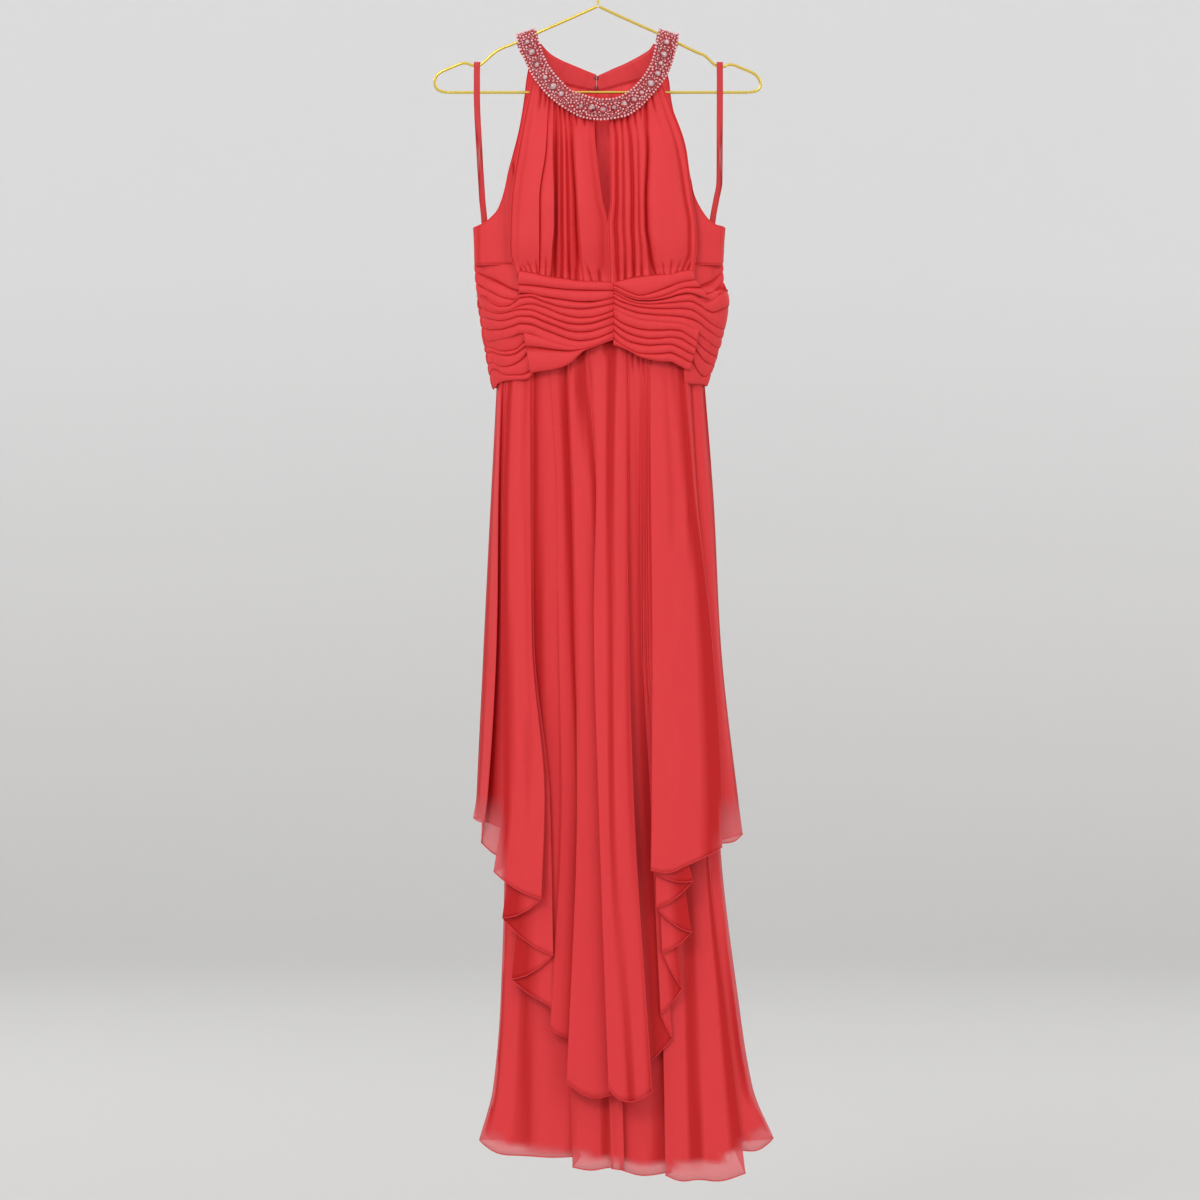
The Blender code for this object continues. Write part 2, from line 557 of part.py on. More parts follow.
CRYSTALS = (
    Spot(-92.5, 48),
    Spot(-87, 61),
    Spot(-79.5, 78),
    Spot(-69, 95),
    Spot(-58.5, 106.5),
    Spot(-48, 116.5),
    Spot(-22, 133.5),
    Spot(-8, 135),
    Spot(6.5, 137.5),
    Spot(21, 135),
    Spot(34, 130),
    Spot(47, 124.5),
    Spot(57, 115),
    Spot(69, 102.5),
    Spot(78, 89.5),
    Spot(82, 76),
    Spot(86, 64),
    Spot(89.5, 48),
)
ARM_LEFT = (
    Spot(-1.2, 0.6),
    Spot(-40.3, 18.2),
    Spot(-79.3, 35.1),
    Spot(-106.6, 48.1),
    Spot(-130, 56.6),
    Spot(-140.4, 65),
    Spot(-153.4, 77.4),
    Spot(-161.2, 79.3),
    Spot(-174.2, 72.8),
    Spot(-192.4, 80.6),
    Spot(-209.3, 87.8),
    Spot(-214.2, 97.5),
    Spot(-210.6, 110.5),
    Spot(-196.3, 112.8),
)
ARM_RIGHT = (
    Spot(1.2, 0.6),
    Spot(39, 18.2),
    Spot(79.3, 35.9),
    Spot(104, 48.1),
    Spot(130, 61.1),
    Spot(140.4, 64.4),
    Spot(153.4, 78.6),
    Spot(163.2, 80.6),
    Spot(172.1, 74.8),
    Spot(189.8, 81.9),
    Spot(206.7, 89),
    Spot(214, 101),
    Spot(209.3, 110.9),
    Spot(196.3, 112.8),
)
BAR_DROP = 112.8
BAR_ENDS = (-195.8, 195.8)
HOOK_FOOT = 0.0021           # the hook's foot stands this far over the arms' meeting point
# The hook's shank above its foot, then its bow as an arc from and to these angles, then its tip
HOOK_SHANK = (
    Spot(0, -9),
    Spot(0, -17),
    Spot(2, -27),
    Spot(7.5, -36.5),
)
HOOK_BOW = (-48, 205)
HOOK_BOW_STEPS = 14
HOOK_TIP = Spot(-18.5, 15.5) # measured from the bow's centre
HOOK_EYE_RADIUS = 0.0018
HOOK_EYE_STRETCH = 1.4       # the ring is this much wider than it is high
HOOK_EYE_WIRE = 0.0005
HOOK_EYE_DEPTH = -0.0098
HOOK_EYE_AROUND = 12
HOOK_EYE_SIDES = 6
ARM_TURN_STEPS = 6           # of a ribbon's half turn over the hanger's arm
RIBBON_ARM_LEFT = 76.0       # drops of the wire under each loop
RIBBON_ARM_RIGHT = 76.0
# One strand of each ribbon loop, from the armhole up to the hanger; turn is in degrees
RIBBON_LEFT = (
    Strand(-147.6, 296.4, 1.5, 0),
    Strand(-148.8, 276.9, 1.8, 0),
    Strand(-151.1, 253.5, 3.0, 8),
    Strand(-152.6, 230.1, 4.5, 25),
    Strand(-154, 210.6, 5.2, 52),
    Strand(-154.8, 193.7, 5.2, 68),
    Strand(-155.7, 178.1, 4.8, 45),
    Strand(-156.5, 162.5, 4.2, 15),
    Strand(-157.6, 141.7, 3.4, 0),
    Strand(-158.3, 115.7, 3.0, 0),
    Strand(-158.3, 93.6, 2.9, 0),
    Strand(-158.1, 80, 2.8, 0),
)
RIBBON_RIGHT = (
    Strand(148.2, 296.4, 1.5, 0),
    Strand(150.2, 276.9, 1.8, 0),
    Strand(154.4, 253.5, 3.0, -8),
    Strand(158.6, 230.1, 4.5, -25),
    Strand(158.9, 211.9, 5.2, -52),
    Strand(159, 196.3, 5.2, -68),
    Strand(159, 179.4, 4.8, -45),
    Strand(159, 162.5, 4.2, -15),
    Strand(159.1, 141.7, 3.4, 0),
    Strand(159.2, 115.7, 3.0, 0),
    Strand(159.2, 93.6, 2.9, 0),
    Strand(159.1, 80.6, 2.8, 0),
)
HOOK_EYES = (
    Spot(-2.1, 93),
    Spot(-2.3, 106),
)


# ---- curves ----
def smooth(knots, values, at):
    """Monotone cubic through the values at the knots, read at one place or many."""
    knots = np.asarray(knots, float)
    values = np.asarray(values, float)
    at = np.clip(np.asarray(at, float), knots[0], knots[-1])
    rise = np.diff(values) / np.diff(knots)
    slope = np.zeros_like(values)
    slope[0], slope[-1] = rise[0], rise[-1]
    same = rise[:-1] * rise[1:] > 0
    total = np.where(same, rise[:-1] + rise[1:], 1.0)
    slope[1:-1] = np.where(same, 2.0 * rise[:-1] * rise[1:] / total, 0.0)
    cell = np.clip(np.searchsorted(knots, at, side="right") - 1, 0, len(knots) - 2)
    width = knots[cell + 1] - knots[cell]
    t = (at - knots[cell]) / width
    return ((2 * t ** 3 - 3 * t ** 2 + 1) * values[cell]
            + (t ** 3 - 2 * t ** 2 + t) * width * slope[cell]
            + (3 * t ** 2 - 2 * t ** 3) * values[cell + 1]
            + (t ** 3 - t ** 2) * width * slope[cell + 1])


def level(table, drop):
    return smooth([row.drop for row in table], [row.value for row in table], drop)


def edge_pair(table, drop):
    drops = [row.drop for row in table]
    left = smooth(drops, [row.left for row in table], drop)
    right = smooth(drops, [row.right for row in table], drop)
    return left, right


def lens(table, x, drop, power):
    """1 on the centre line, falling round to 0 at the piece's two edges."""
    left, right = edge_pair(table, drop)
    reach = np.clip(np.abs(2 * x - left - right) / (right - left), 0, 1)
    return np.sqrt(1 - reach ** power)


def spline_weights(count, per_control, tips):
    """Rows of weights that turn control curves into the columns of a rounded sheet."""
    places = [(0, 0.0)]
    for control in range(1, count - 1):
        if per_control == 1 and control in tips:
            places.append((control, 0.0))
        places += [(control, (j + 0.5) / per_control) for j in range(per_control)]
    places.append((count - 1, 1.0))
    weights = np.zeros((len(places), count))
    for row, (control, t) in enumerate(places):
        before = max(control - 1, 0)
        after = min(control + 1, count - 1)
        weights[row, before] += 0.5 * (1 - t) ** 2
        weights[row, control] += 0.5 + t - t ** 2
        weights[row, after] += 0.5 * t ** 2
    return weights


def spread(xs, spacing):
    """The nearest places to these that keep their order and stay the spacing apart."""
    shift = spacing * np.arange(len(xs))
    pools = []
    for value in xs - shift:
        pools.append([value, 1])
        while len(pools) > 1 and pools[-2][0] > pools[-1][0]:
            value_b, count_b = pools.pop()
            value_a, count_a = pools.pop()
            count = count_a + count_b
            pools.append([(value_a * count_a + value_b * count_b) / count, count])
    return np.concatenate([np.full(count, value) for value, count in pools]) + shift


# ---- sheets: arrays of (column, row, [x, drop, depth]) in millimetres ----
def thread_sheet(threads, drops, rows, base, fold_share, gather_share=None, fold_start=None,
                 per_control=1):
    """A cloth sheet from its fold edges: each has a path down the cloth and a depth.

    Above fold_start the edges keep their order across the sheet, so no layer lies on another.
    """
    places = np.linspace(0, 1, rows)
    xs, fall, sides, gathers, tips = [], [], [], [], set()
    for thread in threads:
        drop = thread.top_drop + places * (thread.end_drop - thread.top_drop)
        knots = (thread.top_drop, *drops, thread.end_drop)
        x = smooth(knots, (thread.top_x, *thread.xs, thread.end_x), drop)
        for side in (thread.into, thread.out)[:1 if thread.into == thread.out else 2]:
            xs.append(x)
            fall.append(drop)
            sides.append(side)
            gathers.append(thread.gather)
        if thread.into != thread.out:
            tips.add(len(xs) - 1)
    xs, fall = np.array(xs), np.array(fall)
    if fold_start is not None:
        apart = np.array([spread(xs[:, row], SPREAD) for row in range(rows)]).T
        apart[0], apart[-1] = xs[0], xs[-1]
        free = np.clip((fall - fold_start[0]) / (fold_start[1] - fold_start[0]), 0, 1)
        free = free * free * (3 - 2 * free)
        xs = apart + free * (xs - apart)
    depth = base(xs, fall) + np.array(sides)[:, None] * fold_share(fall)
    if gather_share is not None:
        depth = depth + np.array(gathers)[:, None] * gather_share(fall)
    controls = np.stack([xs, fall, depth], axis=2)
    weights = spline_weights(len(controls), per_control, tips)
    return np.einsum("ck,krv->crv", weights, controls)


def station_sheet(stations, columns, rows, belly=0.0):
    """A band from its two long edges."""
    count = len(stations)
    places = np.linspace(0, count - 1, columns)
    table = np.array(stations)
    paths = [smooth(np.arange(count), table[:, k], places) for k in range(table.shape[1])]
    inner_x, inner_drop, outer_x, outer_drop, depth = paths
    across = np.linspace(0, 1, rows)[None, :]
    x = inner_x[:, None] + across * (outer_x - inner_x)[:, None]
    drop = inner_drop[:, None] + across * (outer_drop - inner_drop)[:, None]
    bulge = belly * 4 * across * (1 - across) * np.sign(depth)[:, None]
    return np.stack([x, drop, depth[:, None] + bulge], axis=2)


def tuck_grid(lines, base):
    """Two rows for each tuck: under the line above it (recessed) and over its own line."""
    sheet = []
    for upper, lower in zip(lines[:-1], lines[1:]):
        for (x, drop), gap, side in ((upper, TUCK_GAP, -1.0), (lower, -TUCK_GAP, 1.0)):
            sheet.append(np.stack([x + gap, drop + gap, base(x + gap, drop + gap, side)], axis=1))
    return np.array(sheet).transpose(1, 0, 2)


def tuck_sheet(tucks, stations, outer_last, columns, base):
    """A waistband piece: x from its outer edge and stations, drop from its tuck lines."""
    drops = np.array([tuck.drops for tuck in tucks], float)
    outer = np.array([tuck.outer_x for tuck in tucks], float)
    clear = (outer - EDGE_CLEAR if outer_last else outer + EDGE_CLEAR)[:, None]
    inside = np.tile(np.array(stations, float), (len(tucks), 1))
    inside = np.minimum(inside, clear) if outer_last else np.maximum(inside, clear)
    xs = np.column_stack([outer, inside])
    if outer_last:
        xs = np.roll(xs, -1, axis=1)
        drops = np.roll(drops, -1, axis=1)
    places = np.linspace(0, 1, columns)
    lines = []
    for line_x, line_drop in zip(xs, drops):
        share = (line_x - line_x[0]) / (line_x[-1] - line_x[0])
        lines.append(np.array([smooth(share, line_x, places), smooth(share, line_drop, places)]))
    return tuck_grid(lines, base)


# ---- solids ----
def material(name, colour, roughness, metallic=0.0):
    made = bpy.data.materials.new(name)
    made.use_nodes = True
    shader = made.node_tree.nodes["Principled BSDF"]
    shader.inputs["Base Color"].default_value = (*colour, 1.0)
    shader.inputs["Roughness"].default_value = roughness
    shader.inputs["Metallic"].default_value = metallic
    return made


def solid(name, points, faces, finish):
    """An object from points and faces, turned so that its faces point out."""
    volume = 0.0
    for a, b, c in faces:
        volume += float(np.dot(points[a], np.cross(points[b], points[c])))
    if volume < 0:
        faces = [face[::-1] for face in faces]
    mesh = bpy.data.meshes.new(name)
    mesh.from_pydata([tuple(p) for p in points], [], faces)
    mesh.materials.append(finish)
    mesh.shade_smooth()
    made = bpy.data.objects.new(name, mesh)
    bpy.context.scene.collection.objects.link(made)
    return made


def metres(sheet):
    x, drop, depth = sheet[..., 0], sheet[..., 1], sheet[..., 2]
    return np.stack([x * MM, -depth * MM, -HOOK_RISE - drop * MM], axis=-1)


def sheet_normals(points):
    """Unit normals that face the viewer on a sheet seen from the front."""
    down = np.gradient(points, axis=1)
    steps = np.diff(points, axis=0)
    middle = down[1:] + down[:-1]
    steps = steps - middle * (steps[..., 2] / middle[..., 2])[..., None]
    steps /= np.linalg.norm(steps, axis=2, keepdims=True)
    along = np.concatenate([steps[:1], steps[1:] + steps[:-1], steps[-1:]])
    normals = np.cross(down, along)
    return normals / np.linalg.norm(normals, axis=2, keepdims=True)


def quad_faces(first, second, third, fourth):
    return [(first, second, third), (first, third, fourth)]


def wall(name, sheet, thickness, finish, seam_left=False, seam_right=False, rise=None):
    """A closed wall round a sheet; a seam side ends square to the hanger's plane."""
    points = metres(sheet)
    normals = sheet_normals(points)
    for column, seam in ((0, seam_left), (-1, seam_right)):
        if seam:
            flat = np.abs(points[column, :, 1]) < SEAM_GAP
            side = np.sign(normals[column, flat, 0])
            normals[column, flat] = side[:, None] * np.array((1.0, 0.0, 0.0))
    columns, rows = points.shape[:2]
    lift = np.zeros((columns, rows, 1)) if rise is None else rise[..., None]
    outer = (points + normals * (thickness / 2 + lift)).reshape(-1, 3)
    inner = (points - normals * (thickness / 2)).reshape(-1, 3)
    both = np.concatenate([outer, inner])
    back = columns * rows

    def at(column, row):
        return column * rows + row

    faces = []
    for i in range(columns - 1):
        for j in range(rows - 1):
            ring = (at(i, j), at(i + 1, j), at(i + 1, j + 1), at(i, j + 1))
            faces += quad_faces(*ring)
            faces += [face[::-1] for face in quad_faces(*(k + back for k in ring))]
    rim = [at(i, 0) for i in range(columns)]
    rim += [at(columns - 1, j) for j in range(1, rows)]
    rim += [at(i, rows - 1) for i in range(columns - 2, -1, -1)]
    rim += [at(0, j) for j in range(rows - 2, 0, -1)]
    for here, there in zip(rim, rim[1:] + rim[:1]):
        faces += quad_faces(here, here + back, there + back, there)
    return solid(name, both, faces, finish)


def ring_tube(name, rings, finish):
    """A closed solid through rings of points, with flat ends."""
    count = len(rings[0])
    points = np.concatenate(rings)
    faces = []
    for i in range(len(rings) - 1):
        for k in range(count):
            here, there = i * count + k, i * count + (k + 1) % count
            if k < count / 2:
                faces += quad_faces(here, there, there + count, here + count)
            else:
                faces += quad_faces(there, there + count, here + count, here)
    last = (len(rings) - 1) * count
    for k in range(1, count - 1):
        faces.append((0, k + 1, k))
        faces.append((last, last + k, last + k + 1))
    return solid(name, points, faces, finish)


def rounded(points):
    """Every corner cut at a quarter of its sides; both ends stay."""
    points = np.asarray(points, float)
    near = 0.75 * points[:-1] + 0.25 * points[1:]
    far = 0.25 * points[:-1] + 0.75 * points[1:]
    middle = np.stack([near, far], axis=1).reshape(-1, points.shape[1])
    return np.concatenate([points[:1], middle[1:-1], points[-1:]])


def wire(name, path, finish):
    """Round wire along a path of (x, z) in the hanger's plane, in metres."""
    path = np.asarray(path, float)
    along = np.gradient(path, axis=0)
    along /= np.linalg.norm(along, axis=1, keepdims=True)
    rings = []
    for (x, z), (ax, az) in zip(path, along):
        ring = []
        for k in range(WIRE_SIDES):
            angle = 2 * math.pi * (k + 0.5) / WIRE_SIDES
            side, depth = WIRE_RADIUS * math.cos(angle), WIRE_RADIUS * math.sin(angle)
            ring.append((x - az * side, depth, z + ax * side))
        rings.append(np.array(ring))
    return ring_tube(name, rings, finish)


# ---- the skirt's parts ----
def overlay_base(x, drop):
    return level(OVERLAY_BASE, drop) * lens(OVERLAY_EDGE, x, drop, 2)


def underskirt_base(x, drop):
    return level(UNDERSKIRT_BASE, drop) * lens(UNDERSKIRT_EDGE, x, drop, 2)


def lining_base(x, drop):
    return level(LINING_BASE, drop) * lens(LINING_EDGE, x, drop, 2)


def set_seams(sheet, depth, left=True, right=True):
    """The side seams lie in the hanger's plane, half a gap to this sheet's side of it."""
    if left:
        sheet[0, :, 2] = depth
    if right:
        sheet[-1, :, 2] = depth
    return sheet


def even_threads(edges, drops, count, hem, relief):
    """Soft folds over a plain panel, spaced and raised unevenly."""
    threads = []
    for k in range(count):
        share = k / (count - 1)
        if 1 < k < count - 2:
            share += FOLD_WANDER * math.sin(WANDER_TURN * k + WANDER_START) / (count - 1)
        end_drop = hem(share)
        xs = []
        for drop in (BACK_TOP, *drops, end_drop):
            left, right = edge_pair(edges, drop)
            xs.append(float(left + share * (right - left)))
        side = 0.0
        if 0 < k < count - 1:
            height = 1 - HEIGHT_VARIES + HEIGHT_VARIES * math.sin(HEIGHT_TURN * k)
            side = relief * (1 if k % 2 else -TROUGH_SHARE) * height
        threads.append(Thread("fold", xs[0], BACK_TOP, tuple(xs[1:-1]), xs[-1], end_drop,
                              side, side, 0.0))
    return threads


def overlay_fold(drop):
    return level(FOLD_SHARE, drop)


def overlay_gather(drop):
    return level(GATHER_SHARE, drop)


def overlay_back_base(x, drop):
    return -OVERLAY_BACK_SHARE * overlay_base(x, drop)


def overlay_back_hem(share):
    dip = OVERLAY_BACK_DIP * math.sin(math.pi * share)
    return OVERLAY_BACK_HEM + dip + OVERLAY_BACK_RISE * share


def build_overlay(chiffon):
    sheet = thread_sheet(OVERLAY_FRONT, OVERLAY_DROPS, OVERLAY_ROWS, overlay_base, overlay_fold,
                         overlay_gather, OVERLAY_FOLD_START)
    wall("overlay_front", set_seams(sheet, SEAM), CHIFFON_WALL, chiffon, True, True)
    threads = even_threads(OVERLAY_EDGE, OVERLAY_DROPS, OVERLAY_BACK_FOLDS, overlay_back_hem,
                           OVERLAY_BACK_RELIEF)
    sheet = thread_sheet(threads, OVERLAY_DROPS, OVERLAY_BACK_ROWS, overlay_back_base,
                         overlay_fold)
    wall("overlay_back", set_seams(sheet, -SEAM), CHIFFON_WALL, chiffon, True, True)


def under_fold(drop):
    return level(UNDERSKIRT_SHARE, drop)


def underskirt_back_base(x, drop):
    return -UNDERSKIRT_BACK_SHARE * underskirt_base(x, drop)


def underskirt_back_hem(share):
    return UNDERSKIRT_BACK_HEM + UNDERSKIRT_BACK_DIP * math.sin(math.pi * share)


def build_underskirt(chiffon):
    sheet = thread_sheet(UNDERSKIRT_FRONT, UNDERSKIRT_DROPS, UNDERSKIRT_ROWS, underskirt_base,
                         under_fold, fold_start=UNDERSKIRT_FOLD_START)
    wall("underskirt_front", set_seams(sheet, SEAM), CHIFFON_WALL, chiffon, True, True)
    threads = even_threads(UNDERSKIRT_EDGE, UNDERSKIRT_DROPS, UNDERSKIRT_BACK_FOLDS,
                           underskirt_back_hem, UNDERSKIRT_BACK_RELIEF)
    sheet = thread_sheet(threads, UNDERSKIRT_DROPS, UNDERSKIRT_BACK_ROWS, underskirt_back_base,
                         under_fold)
    wall("underskirt_back", set_seams(sheet, -SEAM), CHIFFON_WALL, chiffon, True, True)


def lining_back_base(x, drop):
    return -LINING_BACK_SHARE * lining_base(x, drop)


def lining_hem(share):
    return float(smooth([row.share for row in LINING_HEM], [row.drop for row in LINING_HEM], share))


def lining_back_hem(share):
    ends = lining_hem(0) + (lining_hem(1) - lining_hem(0)) * share
    return ends + LINING_BACK_DIP * math.sin(math.pi * share)


def build_lining(satin):
    threads = even_threads(LINING_EDGE, UNDERSKIRT_DROPS, LINING_FRONT_FOLDS, lining_hem,
                           LINING_RELIEF)
    sheet = thread_sheet(threads, UNDERSKIRT_DROPS, LINING_ROWS, lining_base, under_fold)
    wall("lining_front", set_seams(sheet, SEAM), CHIFFON_WALL, satin, True, True)
    threads = even_threads(LINING_EDGE, UNDERSKIRT_DROPS, LINING_BACK_FOLDS, lining_back_hem,
                           LINING_RELIEF)
    sheet = thread_sheet(threads, UNDERSKIRT_DROPS, LINING_ROWS, lining_back_base, under_fold)
    wall("lining_back", set_seams(sheet, -SEAM), CHIFFON_WALL, satin, True, True)


# ---- the bodice's parts ----
def bodice_base(x, drop):
    left, right = edge_pair(BODICE_EDGE, drop)
    middle = BODICE_CENTRE_X
    reach = np.where(x < middle, (middle - x) / (middle - left), (x - middle) / (right - middle))
    reach = np.clip(reach, 0, 1)
    kept = level(CUP_EDGE_SHARE, drop)
    dip = 1 - KEYHOLE_DIP * np.exp(-((x - middle) / KEYHOLE_DIP_REACH) ** 2)
    return level(BODICE_BASE, drop) * (1 - (1 - kept) * reach ** 3) * dip


def bodice_ripple(drop):
    return level(RIPPLE_SHARE, drop)


def side_base(x, drop):
    return level(SIDE_BASE, drop) * lens(BODY_EDGE, x, drop, 3)


def flat(drop):
    return np.ones_like(drop)


def build_back_half(name, table, centre_x, finish, mirrored):
    shares = np.array(BACK_SHARES)
    rows = []
    for row in table:
        x = row.outer_x + shares * (centre_x - row.outer_x)
        drop = row.outer_drop + shares * (row.inner_drop - row.outer_drop)
        depth = -level(BODY_BASE, drop) * lens(BODY_EDGE, x, drop, 3)
        rows.append(np.stack([x, drop, np.minimum(depth, -SEAM)], axis=1))
    sheet = np.array(rows).transpose(1, 0, 2)
    if mirrored:
        sheet = sheet[::-1]
    wall(name, sheet, SATIN_WALL, finish, not mirrored, mirrored)


def build_bodice(chiffon, satin):
    for name, threads in (("bodice_front_left", BODICE_LEFT), ("bodice_front_right", BODICE_RIGHT)):
        sheet = thread_sheet(threads, BODICE_DROPS, BODICE_ROWS, bodice_base, bodice_ripple)
        wall(name, sheet, CHIFFON_WALL, chiffon)
    for name, threads, left in (("side_panel_left", SIDE_LEFT, True),
                                ("side_panel_right", SIDE_RIGHT, False)):
        sheet = thread_sheet(threads, (), SIDE_PANEL_ROWS, side_base, flat)
        wall(name, set_seams(sheet, SEAM, left, not left), SATIN_WALL, satin, left, not left)
    build_back_half("bodice_back_left", BACK_LEFT, BACK_CENTRE_X - SEAM, satin, False)
    build_back_half("bodice_back_right", BACK_RIGHT, BACK_CENTRE_X + SEAM, satin, True)


# ---- the waistband's parts ----
def waist_round(x, drop):
    return lens(WAIST_EDGE, x, drop, 3)


def band_front(x, drop, side):
    return (WAIST_BASE + TUCK_RISE * side) * waist_round(x, drop)


def band_side(x, drop, side):
    shape = waist_round(x, drop)
    step = level(WAIST_SIDE_STEP, drop) * np.minimum(1, shape / WAIST_STEP_SHARE)
    return (WAIST_BASE + TUCK_RISE * side) * shape - step


def band_back(x, drop, side):
    return -(WAIST_BACK_BASE + TUCK_RISE * side) * waist_round(x, drop)


def back_tuck_lines():
    """From the left side piece's tucks, over the centre back, to the right side piece's."""
    shares = np.array(WAIST_BACK_SHARES)
    last = len(WAIST_SIDE_LEFT) - 1
    lines = []
    for k, (left, right) in enumerate(zip(WAIST_SIDE_LEFT, WAIST_SIDE_RIGHT)):
        middle = WAIST_BACK_TOP + (WAIST_BACK_BOTTOM - WAIST_BACK_TOP) * k / last
        ends = left.drops[0] * (1 - shares) + right.drops[0] * shares
        sag = middle - 0.5 * (left.drops[0] + right.drops[0])
        x = left.outer_x + shares * (right.outer_x - left.outer_x)
        lines.append(np.array([x, ends + sag * np.sin(math.pi * shares)]))
    return lines


def build_waistband(chiffon):
    for name, tucks, stations, outer_last in (
            ("waistband_front_left", WAIST_FRONT_LEFT, FRONT_LEFT_STATIONS, False),
            ("waistband_front_right", WAIST_FRONT_RIGHT, FRONT_RIGHT_STATIONS, True)):
        sheet = tuck_sheet(tucks, stations, outer_last, FRONT_BAND_COLUMNS, band_front)
        wall(name, sheet, CHIFFON_WALL, chiffon)
    sheet = tuck_sheet(WAIST_SIDE_LEFT, SIDE_LEFT_STATIONS, False, SIDE_LEFT_COLUMNS, band_side)
    wall("waistband_side_left", set_seams(sheet, SEAM, right=False), CHIFFON_WALL, chiffon,
         seam_left=True)
    sheet = tuck_sheet(WAIST_SIDE_RIGHT, SIDE_RIGHT_STATIONS, True, SIDE_RIGHT_COLUMNS, band_side)
    wall("waistband_side_right", set_seams(sheet, SEAM, left=False), CHIFFON_WALL, chiffon,
         seam_right=True)
    sheet = set_seams(tuck_grid(back_tuck_lines(), band_back), -SEAM)
    wall("waistband_back", sheet, CHIFFON_WALL, chiffon, True, True)


# ---- collar, fastenings, ribbons, hanger ----
def build_collar(beaded, satin, steel):
    sheet = station_sheet(COLLAR_FRONT, COLLAR_COLUMNS, COLLAR_ROWS, COLLAR_BELLY)
    rise = np.zeros(sheet.shape[:2])
    for crystal in CRYSTALS:
        away = np.hypot(sheet[..., 0] - crystal.x, sheet[..., 1] - crystal.drop)
        away = np.where(sheet[..., 2] > COLLAR_FACE, away, np.inf)
        away[:, (0, -1)] = np.inf
        rise[np.unravel_index(np.argmin(away), away.shape)] = CRYSTAL_RISE
    wall("collar_front", sheet, COLLAR_WALL, beaded, rise=rise)
    for name, stations in (("collar_back_left", COLLAR_BACK_LEFT),
                           ("collar_back_right", COLLAR_BACK_RIGHT)):
        wall(name, station_sheet(stations, COLLAR_BACK_COLUMNS, COLLAR_BACK_ROWS), SATIN_WALL,
             satin)
    for name, spot in zip(("hook_eye_upper", "hook_eye_lower"), HOOK_EYES):
        build_ring(name, spot, steel)


def build_ring(name, spot, finish):
    """A small wire ring that bridges the collar's slit, on its inner face."""
    around, sides = HOOK_EYE_AROUND, HOOK_EYE_SIDES
    points = []
    for i in range(around):
        turn = 2 * math.pi * i / around
        for k in range(sides):
            angle = 2 * math.pi * k / sides
            reach = HOOK_EYE_RADIUS + HOOK_EYE_WIRE * math.cos(angle)
            points.append((spot.x * MM + reach * math.cos(turn) * HOOK_EYE_STRETCH,
                           -HOOK_EYE_DEPTH + HOOK_EYE_WIRE * math.sin(angle),
                           -HOOK_RISE - spot.drop * MM + reach * math.sin(turn)))
    faces = []
    for i in range(around):
        for k in range(sides):
            a, b = i * sides + k, i * sides + (k + 1) % sides
            c = (i + 1) % around * sides + (k + 1) % sides
            d = (i + 1) % around * sides + k
            faces += quad_faces(a, b, c, d)
    solid(name, np.array(points), faces, finish)


def ribbon_ring(x, drop, depth, across, out):
    """The four corners of a ribbon's section, from its width's and its face's directions."""
    middle = np.array((x * MM, -depth * MM, -HOOK_RISE - drop * MM))
    width = np.array(across) * RIBBON_WIDTH / 2
    height = np.array(out) * RIBBON_WALL / 2
    return np.array([middle - width + height, middle + width + height,
                     middle + width - height, middle - width - height])


def ribbon(name, strands, arm_drop, finish):
    """A loop: up in front of the hanger's arm, over it and down behind it."""
    rings = []
    for strand in strands:
        turn = math.radians(strand.turn)
        rings.append(ribbon_ring(strand.x, strand.drop, strand.depth,
                                 (math.cos(turn), -math.sin(turn), 0.0),
                                 (-math.sin(turn), -math.cos(turn), 0.0)))
    top = strands[-1]
    for k in range(1, ARM_TURN_STEPS):
        angle = math.pi * k / ARM_TURN_STEPS
        rings.append(ribbon_ring(top.x, arm_drop - top.depth * math.sin(angle),
                                 top.depth * math.cos(angle), (1.0, 0.0, 0.0),
                                 (0.0, -math.cos(angle), math.sin(angle))))
    for strand in reversed(strands):
        rings.append(ribbon_ring(strand.x, strand.drop, -min(strand.depth, top.depth),
                                 (1.0, 0.0, 0.0), (0.0, 1.0, 0.0)))
    return ring_tube(name, rings, finish)


def hanger_path(bends):
    return [(bend.x * MM, -HOOK_RISE - bend.drop * MM) for bend in bends]


def hook_path():
    """The shank, the bow as an arc, and the tip; the bow's inside top is the origin."""
    bow_z = WIRE_RADIUS - HOOK_RADIUS
    path = [(0.0, -HOOK_RISE + HOOK_FOOT)] + hanger_path(HOOK_SHANK)
    first, last = HOOK_BOW
    for k in range(HOOK_BOW_STEPS + 1):
        angle = math.radians(first + k * (last - first) / HOOK_BOW_STEPS)
        path.append((HOOK_RADIUS * math.cos(angle), bow_z + HOOK_RADIUS * math.sin(angle)))
    path.append((HOOK_TIP.x * MM, bow_z - HOOK_TIP.drop * MM))
    return path


def build_hanger(gold):
    wire("hanger_hook", hook_path(), gold)
    wire("hanger_arm_left", rounded(hanger_path(ARM_LEFT)), gold)
    wire("hanger_arm_right", rounded(hanger_path(ARM_RIGHT)), gold)
    left, right = BAR_ENDS
    wire("hanger_bar", hanger_path((Spot(left, BAR_DROP), Spot(0.0, BAR_DROP),
                                    Spot(right, BAR_DROP))), gold)


